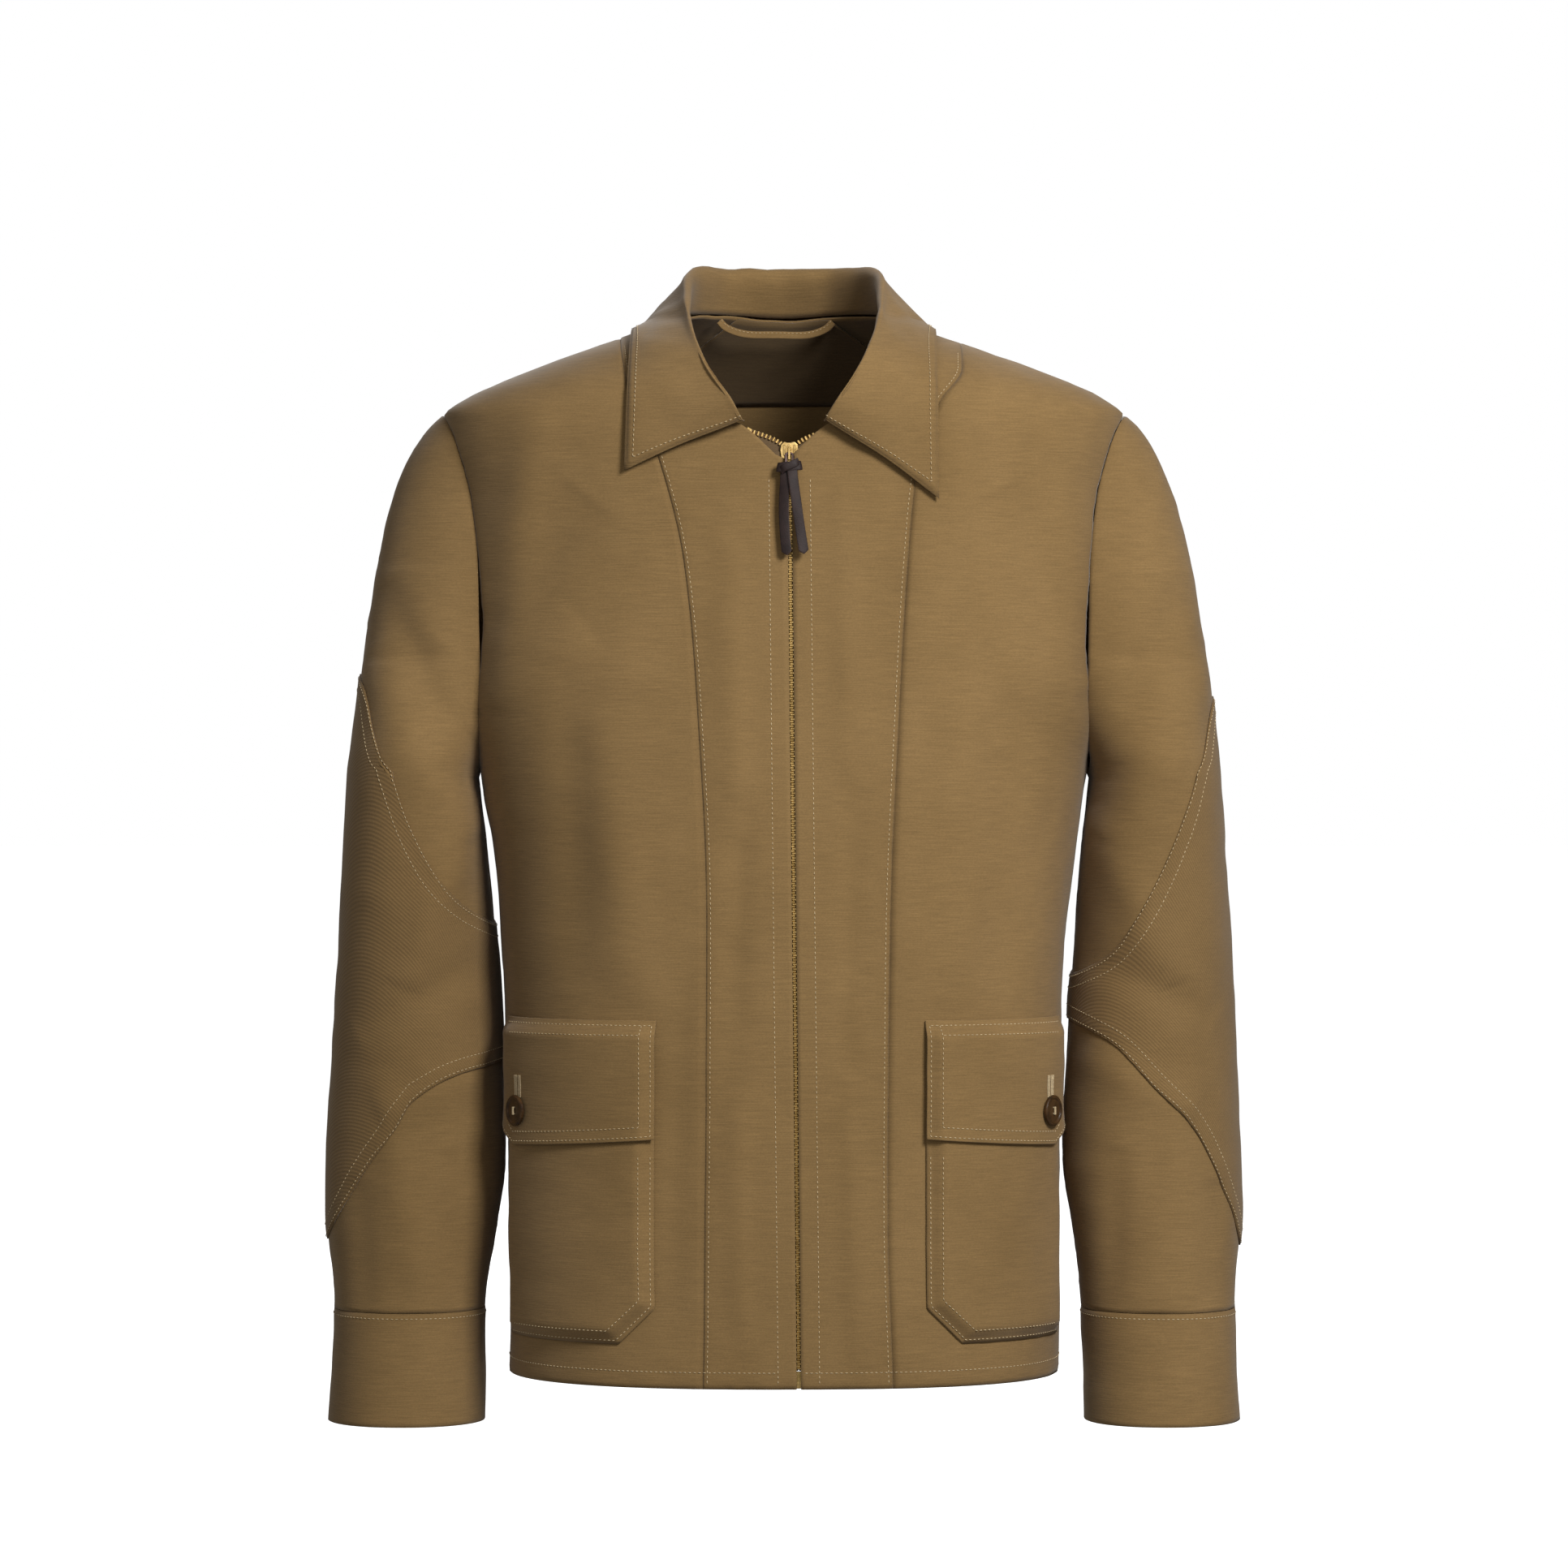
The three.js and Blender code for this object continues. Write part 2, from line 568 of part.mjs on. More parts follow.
// The tape starts at the chain and steps forward to be sewn behind the folded front edge.
function zipTape(side) {
  const from = chain.outer + gap;
  const middle = (chain.front + chain.back - tape.thick) / 2;
  const sewn = cloth + 1.3;
  const section = [[from, middle], [6, middle], [8.5, sewn], [tape.outer, sewn]];
  const back = section.map(([x, y]) => [x, y + tape.thick]).reverse();
  const shape = new THREE.Shape([...section, ...back].map(([x, y]) => new THREE.Vector2(x, y)));
  const geometry = new THREE.ExtrudeGeometry(shape, { depth: zipLength - boxSize.height, bevelEnabled: false });
  geometry.translate(0, 0, boxSize.height - zipLength);
  return onZip(flip(solid(geometry), side));
}
addPair("zip_tape", zipTape, "tape");

function zipSlider() {
  const half = slider.length / 2;
  const plan = [
    [-slider.halfFoot, -half], [slider.halfFoot, -half], [slider.halfTop, half - 5], [slider.halfTop - 0.6, half - 1],
    [3, half], [-3, half], [0.6 - slider.halfTop, half - 1], [-slider.halfTop, half - 5],
  ];
  let body = zipPlate(plan, slider.front, slider.front + slider.plate);
  body = body.add(zipPlate(plan, channelBack, channelBack + slider.plate));
  body = body.add(block(-slider.web / 2, slider.web / 2, slider.front, channelBack + slider.plate, 1, half - 0.5));
  const inset = 0.5;
  for (const side of [1, -1]) {
    const x = [side * (slider.halfFoot - slider.flange), side * slider.halfFoot].sort((a, b) => a - b);
    const front = slider.front + inset;
    body = body.add(block(...x, front, front + inset + slider.flange, -half + 0.4, 0));
    body = body.add(block(...x, channelBack - slider.flange, channelBack + inset, -half + 0.4, 0));
  }
  const { half: thin, front, reach } = crownSize;
  const crown = block(-thin, thin, front, slider.front + inset, -reach, reach);
  const eye = block(-4, 4, pullAxis - eyeHalf, pullAxis + eyeHalf, -eyeHalf, eyeHalf);
  return onZip(body.add(crown.subtract(eye)));
}
add("zip_slider", zipSlider(), "brass");

// A leather thong through the crown, tied in a knot with two cut tails.
const pull = {
  pin: 0.75,
  cheek: 1.1,
  knotHalf: 7.8,
  knotTop: -4.9,
  knotFoot: -11.4,
  tailFoot: -62,
  tailWidth: 6.2,
  thick: 1.8,
};
function leatherPull() {
  const pin = new THREE.CylinderGeometry(pull.pin, pull.pin, 6.4, 14).rotateZ(Math.PI / 2);
  let made = solid(pin).translate([0, pullAxis, 0]);
  const knotY = [crownSize.front - 4.8, crownSize.front - 0.5];
  for (const side of [1, -1]) {
    const x = [side * 2.1, side * (2.1 + pull.cheek)].sort((a, b) => a - b);
    made = made.add(block(...x, knotY[1] - 0.4, pullAxis + pull.pin, pull.knotTop - 0.6, pull.pin));
  }
  const knot = new THREE.SphereGeometry(1, 16, 10);
  knot.scale(pull.knotHalf, (knotY[1] - knotY[0]) / 2, (pull.knotTop - pull.knotFoot) / 2);
  knot.translate(0, (knotY[0] + knotY[1]) / 2, (pull.knotTop + pull.knotFoot) / 2);
  const shoulder = block(-3.2, 3.2, knotY[1] - 1.2, knotY[1], pull.knotTop - 1.4, pull.knotTop + 0.2);
  made = made.add(solid(knot)).add(shoulder);
  const tails = [
    { top: -2.6, foot: -2, y: knotY[1] - 2 },
    { top: 1.6, foot: 8.6, y: knotY[1] - 4.2 },
  ];
  for (const tail of tails) {
    const w = pull.tailWidth / 2;
    const outline = [
      [tail.top - w * 0.8, pull.knotFoot + 2.5], [tail.foot - w, pull.tailFoot + 3.2], [tail.foot + 0.4, pull.tailFoot],
      [tail.foot + w, pull.tailFoot + 2.4], [tail.top + w * 0.8, pull.knotFoot + 2.5],
    ];
    made = made.add(zipPlate(outline, tail.y, tail.y + pull.thick));
  }
  return onZip(made);
}
add("leather_pull", leatherPull(), "leather");

// Top stops are pressed round the end of each half of the chain.
function topStop(side) {
  const x = vHalfWidth - 3 + 3 * gap;
  const outline = [[x, vDepth - 6.2], [x + 3, vDepth - 4.6], [x + 2, vDepth - 2.2], [x - 0.4, vDepth - 3.6]];
  return onZip(flip(zipPlate(outline, chain.front - 0.3, chain.back + 0.3), side));
}
addPair("zip_top_stop", topStop, "brass");

// At the foot a pin on the wearer's right slips into a box on the left.
function zipBox() {
  const foot = -zipLength;
  const top = foot + boxSize.height - gap;
  const wall = 0.9;
  const outer = block(-boxSize.half, boxSize.half, chain.front - wall, chain.back + wall, foot + 0.5, top);
  const inner = -chain.inner + gap / 2;
  const socket = block(-chain.outer - gap, inner, chain.front - gap, chain.back + gap, foot + 2, 0);
  return onZip(outer.subtract(socket));
}
add("zip_box", zipBox(), "brass");
const pinFoot = -zipLength + 2 + gap;
const pinTop = -zipLength + boxSize.height - gap;
add("zip_pin", onZip(block(-chain.outer, -chain.inner, chain.front, chain.back, pinFoot, pinTop)), "brass");

// ---- Pockets: a patch that stands off the body, and a flap of two plies buttoned over its mouth ----
const patchOuter = gap + pocket.room + cloth;
const flapInner = patchOuter + gap;
const flapOuter = flapInner + flapPlies;
const mouthZ = pocket.top - pocket.mouthDrop; // low enough for the flap's seam to swing past it

function pocketOutline(side, inset = 0, top = mouthZ) {
  const inner = pocketInner[side] + inset;
  const outer = pocket.outer - inset;
  const foot = pocket.bottom + inset;
  return [[inner, top], [inner, foot + pocket.chamfer], [inner + pocket.chamfer, foot], [outer, foot], [outer, top]];
}

function pocketPatch(side) {
  const solidPart = layer(bodyGrid, gap, patchOuter).intersect(flip(cutter(pocketOutline(side), -reachY, 0), side));
  const room = flip(cutter(pocketOutline(side, pocket.hem, mouthZ + 5), -reachY, 0), side);
  return solidPart.subtract(layer(bodyGrid, -gap, patchOuter - cloth).intersect(room));
}
addPair("pocket", pocketPatch, "drill");

function flapOutline(side, fromTop) {
  const inner = pocketInner[side] - 1;
  const outer = pocket.outer + 0.6;
  const foot = pocket.top - pocket.flapDepth;
  const top = pocket.top;
  if (fromTop) return [[inner, top], [inner, top - fromTop], [outer, top - fromTop], [outer, top]];
  const point = [button.x + 3, top - pocket.flapPoint];
  return [[inner, top], [inner + 2, foot], point, [outer, foot + 7], [outer, top]];
}

function pocketFlap(side) {
  const headDepth = 3; // the flap's seam allowance, sewn down above the pocket
  const within = (outline) => flip(cutter(outline, -reachY, 0), side);
  const hang = layer(bodyGrid, flapInner, flapOuter).intersect(within(flapOutline(side)));
  const head = layer(bodyGrid, gap, flapInner + 0.5).intersect(within(flapOutline(side, headDepth)));
  const hole = onButton(side, block(-slit.width / 2, slit.width / 2, -20, 20, -slit.below, slit.above));
  return hang.add(head).subtract(hole);
}

// A frame at a button: Z up, Y into the cloth, with its origin on the body's surface.
function buttonFrame(side) {
  const z = button.z;
  const place = new THREE.Vector3(button.x, frontY(button.x, z), z);
  const { normal } = outside(place);
  normal.setZ(0).normalize();
  const across = new THREE.Vector3(0, 0, 1).cross(normal).normalize();
  return new THREE.Matrix4().makeBasis(across, normal.negate(), new THREE.Vector3(0, 0, 1)).setPosition(place);
}
const onButton = (side, made) => flip(made.transform(buttonFrame(side).elements), side);
addPair("pocket_flap", pocketFlap, "drill");

const buttonBack = flapOuter + 0.6;
const holeSides = [1, -1];
function pocketButton(side) {
  const { radius, thick } = button;
  const dish = thick - 0.7;
  const rim = [
    [0, 0], [radius - 0.8, 0], [radius, 0.8], [radius, thick - 0.5],
    [radius - 0.6, thick], [radius - 1.8, thick], [radius - 2.6, dish], [0, dish],
  ];
  const lathe = new THREE.LatheGeometry(rim.map(([x, y]) => new THREE.Vector2(x, y)), 28);
  lathe.rotateX(Math.PI);
  lathe.translate(0, -buttonBack, 0);
  let made = solid(lathe);
  for (const end of holeSides) made = made.subtract(buttonHole(end, button.holeRadius, 30));
  return onButton(side, made);
}

// A round bar along the button's axis through one of its two holes.
function buttonHole(end, radius, length, middle = -buttonBack) {
  const bar = new THREE.CylinderGeometry(radius, radius, length, 12);
  bar.translate(0, middle, (end * button.holeSpacing) / 2);
  return solid(bar);
}
addPair("pocket_button", pocketButton, "horn");

// The thread holds the button on a shank that stands on the pocket, inside the flap's buttonhole.
function buttonThread(side) {
  const shankFoot = -(patchOuter + gap);
  const shankTop = -(buttonBack - gap);
  const over = -(buttonBack + button.thick);
  const shank = new THREE.CylinderGeometry(2.6, 2.6, shankFoot - shankTop, 14).scale(0.55, 1, 1);
  let made = solid(shank.translate(0, (shankFoot + shankTop) / 2, 0));
  for (const end of holeSides) {
    made = made.add(buttonHole(end, 0.5, shankTop + 0.4 - over, (shankTop + 0.4 + over) / 2));
  }
  const stitch = block(-0.5, 0.5, over - 0.6, over + 0.2, -button.holeSpacing / 2 - 0.5, button.holeSpacing / 2 + 0.5);
  return onButton(side, made.add(stitch));
}
addPair("button_thread", buttonThread, "thread");

// ---- Inside the back neck: the label, its patch and the loop that the jacket hangs by ----
function neckPatch(inner, outer, x0, x1, z0, z1) {
  return bodyLayer(inner, outer).intersect(block(x0, x1, 0, reachY, z0, z1));
}
add("label_patch", neckPatch(-3.6, -2.8, -31, 16, -17, -4), "drill");
add("size_label", neckPatch(-4.5, -3.9, -9.6, 8.2, -14, -4.5), "label");

// The loop hangs from two points of the back neck seam, so it lies in an upright plane between them.
function hangerLoop() {
  const seamY = (x) => neckSideY + (neckBack - neckSideY) * Math.sqrt(1 - (x / neckHalfWidth) ** 2);
  const from = new THREE.Vector3(loop.right, seamY(loop.right) - loop.inset, loop.z);
  const to = new THREE.Vector3(loop.left, seamY(loop.left) - loop.inset, loop.z);
  const span = from.distanceTo(to);
  const half = [[0, 0], [4, -4], [15, -loop.drop]];
  const middle = [[span / 2, -loop.drop - 0.6]];
  const route = [...half, ...middle, [span - 14, -loop.drop], [span - 4, -4], [span, 0]];
  const bend = smooth(route.map(([x, z]) => [x, 0, z]));
  const upper = [];
  const lower = [];
  for (const t of steps(0, 1, 18)) {
    const at = bend.getPoint(t);
    const along = bend.getTangent(t).multiplyScalar(loop.width / 2);
    upper.push([at.x - along.z, at.z + along.x]);
    lower.push([at.x + along.z, at.z - along.x]);
  }
  const turn = (Math.atan2(to.y - from.y, to.x - from.x) * 180) / Math.PI;
  const strip = zipPlate([...upper, ...lower.reverse()], -loop.thick / 2, loop.thick / 2);
  return strip.rotate([0, 0, turn]).translate(from.toArray());
}
add("hanger_loop", hangerLoop(), "drill");

export default jacket;
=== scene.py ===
# %% [markdown]
# # A beekeeping jacket in cotton drill
# The jacket is a zip-front work jacket: drill panels, a turned-down collar, set-in sleeves with elbow
# patches and cuffs, and two patch pockets with buttoned flaps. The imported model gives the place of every
# piece. Each cloth panel is made here from a bmesh grid that is laid on the same smooth shape as the
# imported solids, then given its folds, its seams and its thickness.

import math

import bmesh
import bpy
import numpy as np
from mathutils import Matrix, Vector


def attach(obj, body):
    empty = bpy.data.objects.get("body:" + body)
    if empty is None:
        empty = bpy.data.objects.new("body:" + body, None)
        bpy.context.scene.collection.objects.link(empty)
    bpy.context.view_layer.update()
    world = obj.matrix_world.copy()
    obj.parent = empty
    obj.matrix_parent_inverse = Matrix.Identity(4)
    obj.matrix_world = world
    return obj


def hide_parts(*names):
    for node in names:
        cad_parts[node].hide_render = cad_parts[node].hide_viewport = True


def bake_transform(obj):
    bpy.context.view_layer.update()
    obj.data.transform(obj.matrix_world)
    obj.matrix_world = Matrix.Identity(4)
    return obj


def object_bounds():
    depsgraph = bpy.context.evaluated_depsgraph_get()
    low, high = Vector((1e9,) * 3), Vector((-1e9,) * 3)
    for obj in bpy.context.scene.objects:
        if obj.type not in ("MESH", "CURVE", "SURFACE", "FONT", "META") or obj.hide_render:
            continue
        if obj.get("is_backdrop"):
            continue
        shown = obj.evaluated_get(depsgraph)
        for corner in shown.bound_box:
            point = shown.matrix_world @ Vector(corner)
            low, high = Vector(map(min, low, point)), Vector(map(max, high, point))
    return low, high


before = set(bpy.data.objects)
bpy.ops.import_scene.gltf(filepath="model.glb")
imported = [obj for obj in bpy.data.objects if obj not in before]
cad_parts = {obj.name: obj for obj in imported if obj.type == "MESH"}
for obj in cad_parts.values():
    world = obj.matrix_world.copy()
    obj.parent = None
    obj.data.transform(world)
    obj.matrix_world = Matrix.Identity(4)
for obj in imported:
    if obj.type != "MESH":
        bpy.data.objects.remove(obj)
cad_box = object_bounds()
MM = 0.001

# %% [markdown]
# ## Camera, floor and light
# The jacket is seen straight from the front with a long lens. A large soft light stands high at the
# viewer's right, so the left of the picture is darker, and a weak one fills from the left.

# %% Camera
VIEW_DISTANCE = 3.4
VIEW_HEIGHT = -0.295
VIEW_WIDTH = 0.9815
SENSOR = 36.0
camera = bpy.data.objects.new("camera", bpy.data.cameras.new("camera"))
camera.data.sensor_width = SENSOR
camera.data.lens = SENSOR * VIEW_DISTANCE / VIEW_WIDTH
camera.location = (0, -VIEW_DISTANCE, VIEW_HEIGHT)
camera.rotation_euler = (math.radians(90), 0, 0)
bpy.context.collection.objects.link(camera)
bpy.context.scene.camera = camera
bpy.context.scene.view_settings.view_transform = "Standard"
print("lens", round(camera.data.lens, 1), "mm")


# %% Lights
def area_light(name, place, target, size, power):
    light = bpy.data.objects.new(name, bpy.data.lights.new(name, "AREA"))
    light.data.size = size
    light.data.energy = power
    light.location = place
    light.rotation_euler = (Vector(target) - Vector(place)).to_track_quat("-Z", "Y").to_euler()
    bpy.context.collection.objects.link(light)


area_light("key_light", (0.80, -1.50, 0.62), (0.04, 0, -0.22), 0.55, 36)
area_light("fill_light", (-0.5, -3.0, 0.4), (0, 0, -0.35), 1.2, 8)
area_light("back_light", (-0.3, 2.6, 1.4), (0, 0, -0.3), 1.6, 34)

world = bpy.data.worlds.new("studio")
bpy.context.scene.world = world
world.use_nodes = True
nodes = world.node_tree.nodes
sky = nodes["Background"]
sky.inputs["Color"].default_value = (1, 1, 1, 1)
sky.inputs["Strength"].default_value = 0.24
seen = nodes.new("ShaderNodeBackground")
seen.inputs["Color"].default_value = (1, 1, 1, 1)
seen.inputs["Strength"].default_value = 1.0
path = nodes.new("ShaderNodeLightPath")
pick = nodes.new("ShaderNodeMixShader")
links = world.node_tree.links
links.new(path.outputs["Is Camera Ray"], pick.inputs["Fac"])
links.new(sky.outputs["Background"], pick.inputs[1])
links.new(seen.outputs["Background"], pick.inputs[2])
links.new(pick.outputs["Shader"], nodes["World Output"].inputs["Surface"])

# %% [markdown]
# ## The shape of the body and sleeves
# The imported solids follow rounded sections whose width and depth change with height. The same values are
# repeated here in millimetres, so that every panel lies where its solid does. A smooth line through a few
# knots gives each value, and never swings past a knot.

# %% Sizes
CLOTH = 1.1
HEM = -660.0
ARMPIT = -290.0
CUFF_TOP = -622.0
CUFF_FOOT = -692.0
ZIP_TOP = -77.0
SLIDER = -95.0
ZIP_TOP_X = 3.0
ZIP_FOOT_X = 9.0
ZIP_SLIT = 2.6
FRONT_TOP = 110.0
FRONT_HEM = 128.0
NECK_HALF = 66.0
NECK_SIDE_Y = -26.0
NECK_BACK = 60.0
V_HALF = 25.0
V_DEPTH = 19.0
BODY_POWER = 2.45
SLEEVE_POWER = 2.2


# %% Smooth lines through knots
def profile(*knots):
    z, v = np.array(knots, float).T
    chord = np.diff(v) / np.diff(z)
    product, total = chord[:-1] * chord[1:], chord[:-1] + chord[1:]
    inner = np.where(product > 0, 2 * product / np.where(product > 0, total, 1), 0)
    slope = np.concatenate(([chord[0]], inner, [chord[-1]]))

    def at(height):
        h = np.clip(height, z[-1], z[0])
        i = np.clip(np.searchsorted(-z, -h, side="right") - 1, 0, len(z) - 2)
        span = z[i + 1] - z[i]
        t = (h - z[i]) / span
        u = 1 - t
        bend = span * t * u * (slope[i] * u - slope[i + 1] * t)
        return v[i] * (1 + 2 * t) * u * u + v[i + 1] * t * t * (1 + 2 * u) + bend

    return at


body_width = profile(
    (4, 44), (0, 56), (-16, 98), (-36, 154), (-54, 197), (-67, 213), (-80, 212.5), (-119, 206),
    (-200, 204), (-290, 189), (-340, 181), (-440, 173.5), (-530, 171.5), (HEM, 171.5),
)
neck_depth = profile((4, 40), (0, 52), (-16, 74), (-36, 95), (-56, 106.5), (ZIP_TOP, FRONT_TOP))
back_depth = profile(
    (4, 50), (0, 61), (-16, 84), (-36, 103), (-70, 116), (-120, 127), (-200, 132), (-350, 129), (HEM, 124)
)
armhole_x = profile(
    (-56, 219), (-67, 211), (-75, 206.5), (-89, 201), (-119, 193), (-160, 188.5), (-234, 187), (ARMPIT, 190)
)
sleeve_outer = profile(
    (-56, 202), (-67, 216), (-79, 226.5), (-97, 237), (-122, 246), (-165, 256), (-226, 265), (-317, 274),
    (-440, 281), (-561, 286), (CUFF_TOP, 282), (CUFF_FOOT, 285),
)
sleeve_inner = profile(
    (ARMPIT, 191), (-340, 185.5), (-440, 178.5), (-530, 175.5), (-580, 182),
    (CUFF_TOP, 186.5), (CUFF_FOOT, 188),
)
sleeve_depth = profile(
    (-160, 57), (-230, 66), (ARMPIT, 70), (-400, 66), (-530, 60), (CUFF_TOP, 55), (CUFF_FOOT, 53)
)
sleeve_centre_y = profile((ARMPIT, 0), (-440, 12), (-560, 8), (CUFF_FOOT, 2))
cap_centre = profile((-60, 150), (-160, 188.5))
princess = {
    1: profile((0, 110), (-40, 109), (-64, 94), (-117, 79), (-250, 70), (-400, 64), (-560, 63), (HEM, 66)),
    -1: profile((0, 104), (-40, 98), (-92, 78), (-160, 61), (-230, 54), (-380, 47), (-560, 48), (HEM, 49)),
}


def front_depth(z):
    straight = FRONT_TOP + (ZIP_TOP - z) * (FRONT_HEM - FRONT_TOP) / (ZIP_TOP - HEM)
    return np.where(z > ZIP_TOP, neck_depth(z), straight)


def zip_line(z):
    return ZIP_TOP_X + (ZIP_FOOT_X - ZIP_TOP_X) * (ZIP_TOP - z) / (ZIP_TOP - HEM)


def round_off(share, power):
    return (1 - np.minimum(np.abs(share), 1) ** power) ** (1 / power)


# %% Points on a section, and the angle of a line on it
def soft_step(x, low, high):
    t = np.clip((x - low) / (high - low), 0, 1)
    return t * t * (3 - 2 * t)


def on_section(angle, z, centre, width, front, back, power, y=0.0):
    c, s = np.cos(angle), np.sin(angle)
    across = np.sign(c) * np.abs(c) ** (2 / power) * width
    along = np.sign(s) * np.abs(s) ** (2 / power) * np.where(s < 0, front, back)
    return np.stack(np.broadcast_arrays(centre + across, y + along, z), -1)


def share_angle(share, power):
    share = np.clip(share, -1, 1)
    return np.arccos(np.sign(share) * np.abs(share) ** (power / 2))


def body_surface(angle, z):
    return on_section(angle, z, 0, body_width(z), front_depth(z), back_depth(z), BODY_POWER)


def body_angle(x, z):
    return share_angle(x / body_width(z), BODY_POWER)


def body_reach(p):
    x, y, z = np.moveaxis(p, -1, 0)
    depth = np.where(y < 0, front_depth(z), back_depth(z))
    return (np.abs(x / body_width(z)) ** BODY_POWER + np.abs(y / depth) ** BODY_POWER) ** (1 / BODY_POWER)


def body_normal(p):
    slopes = [body_reach(p + step) - body_reach(p - step) for step in 0.5 * np.eye(3)]
    steep = np.stack(slopes, -1)
    return steep / np.linalg.norm(steep, axis=-1, keepdims=True)


def sleeve_shape(z):
    outer, x = sleeve_outer(z), armhole_x(z)
    share = np.abs(x / body_width(z))
    depths = [front_depth(z) * round_off(share, BODY_POWER), back_depth(z) * round_off(share, BODY_POWER)]
    plain = (outer - sleeve_inner(z)) / 2
    reach = sum(round_off(np.minimum(d / sleeve_depth(z), 1), SLEEVE_POWER) for d in depths) / 2
    width = np.where(z <= ARMPIT, plain, np.where(z > -160, outer - cap_centre(z), (outer - x) / (1 + reach)))
    centre = outer - width
    meet = round_off((x - centre) / width, SLEEVE_POWER)
    joined = np.where(z > -160, 1, soft_step(meet, 0.35, 0.75)) * (z > ARMPIT)
    deep = [sleeve_depth(z) * (1 - joined) + joined * d / np.maximum(meet, 0.2) for d in depths]
    limit = np.where(z > ARMPIT, share_angle((x - centre) / width, SLEEVE_POWER), math.pi)
    return centre, width, deep[0], deep[1], np.where(z < ARMPIT, sleeve_centre_y(z), 0), limit


def sleeve_surface(turn, z):
    """turn runs from -1, the inner seam in front, over 0, the outside of the arm, to 1 behind."""
    centre, width, front, back, y, limit = sleeve_shape(z)
    return on_section(turn * limit, z, centre, width, front, back, SLEEVE_POWER, y)


print("chest", 2 * float(body_width(-200.0)), "mm, hem", 2 * float(body_width(HEM)), "mm")

# %% [markdown]
# ## Folds
# Drill is stiff, so it falls in long soft folds rather than in small crumples: from the armpits towards
# the chest, down the fronts, and across the bend of each sleeve. One shared list of folds moves every
# piece, so that neighbours still meet and a pocket rides on the cloth under it. A fold is a soft ridge
# or valley along a line in the front view.

# %% Folds and crumples
FRONT_FOLDS = [  # from, to, half-width, height: all in x and z
    ((-200, -215), (-120, -120), 20, -2.6), ((-196, -262), (-120, -200), 16, 2.0),
    ((196, -225), (128, -118), 18, -2.4), ((196, -270), (130, -210), 16, 1.8),
    ((-150, -60), (-176, -250), 15, 2.2), ((165, -66), (178, -240), 15, 2.0),
    ((-108, -250), (-92, -430), 17, 1.8), ((-130, -220), (-126, -420), 14, -1.4),
    ((112, -230), (96, -430), 16, 1.8), ((140, -240), (132, -420), 14, -1.3),
    ((-36, -120), (-30, -330), 11, 1.3), ((-22, -300), (-40, -520), 10, -1.2),
    ((-30, -480), (-24, -640), 9, 1.2),
    ((34, -110), (40, -300), 11, 1.2), ((44, -280), (34, -470), 10, -1.1), ((38, -470), (46, -650), 9, 1.1),
    ((-60, -390), (-70, -640), 8, -1.0), ((72, -400), (74, -640), 8, -1.0),
    ((-262, -210), (-196, -330), 15, 2.2), ((-250, -170), (-205, -260), 12, -1.8),
    ((-186, -300), (-236, -420), 13, 2.0), ((-180, -400), (-262, -450), 12, -1.8),
    ((-182, -470), (-250, -500), 12, 1.8), ((-250, -470), (-222, -620), 12, 1.6),
    ((-205, -520), (-200, -620), 9, -1.4), ((-262, -540), (-258, -625), 9, -1.2),
    ((264, -215), (200, -330), 15, 2.0), ((250, -165), (206, -250), 12, -1.7),
    ((190, -310), (240, -420), 13, 1.9), ((184, -400), (266, -440), 12, -1.8),
    ((184, -462), (252, -500), 12, 1.6), ((252, -470), (226, -620), 12, 1.6),
    ((206, -520), (203, -620), 9, -1.4), ((264, -540), (262, -625), 9, -1.2),
]
BACK_FOLDS = [
    ((-190, -240), (-110, -90), 20, -2.6), ((190, -240), (110, -90), 20, -2.6),
    ((-196, -280), (-90, -220), 16, 2.2), ((196, -280), (90, -220), 16, 2.2),
    ((-60, -200), (-74, -640), 22, 2.4), ((58, -220), (66, -640), 22, 2.4), ((2, -260), (-6, -650), 18, -1.8),
    ((-120, -300), (-128, -640), 16, -1.6), ((122, -300), (126, -640), 16, -1.6),
    ((-150, -500), (-40, -560), 14, 1.4),
    ((-262, -230), (-200, -340), 15, 2.0), ((262, -230), (200, -340), 15, 2.0),
    ((-190, -380), (-262, -430), 13, -2.0), ((190, -380), (262, -430), 13, -2.0),
    ((-250, -470), (-222, -620), 12, 1.6), ((252, -470), (226, -620), 12, 1.6),
]
LATTICE = np.random.default_rng(7).uniform(-1, 1, (97, 97))


def crumple(u, v, size):
    u, v = u / size + 40, v / size + 40
    i, j = np.floor(u).astype(int), np.floor(v).astype(int)
    a, b = soft_step(u - i, 0, 1), soft_step(v - j, 0, 1)
    corner = lambda di, dj: LATTICE[(i + di) % 97, (j + dj) % 97]
    low = corner(0, 0) * (1 - a) + corner(1, 0) * a
    high = corner(0, 1) * (1 - a) + corner(1, 1) * a
    return low * (1 - b) + high * b


def fold_height(x, z, folds):
    total = np.zeros_like(x)
    for start, end, width, height in folds:
        a, along = np.array(start, float), np.subtract(end, start).astype(float)
        t = np.clip(((x - a[0]) * along[0] + (z - a[1]) * along[1]) / (along @ along), 0, 1)
        away = np.hypot(x - a[0] - t * along[0], z - a[1] - t * along[1])
        total += height * np.exp(-((away / width) ** 2)) * np.sqrt(4 * t * (1 - t))
    return total


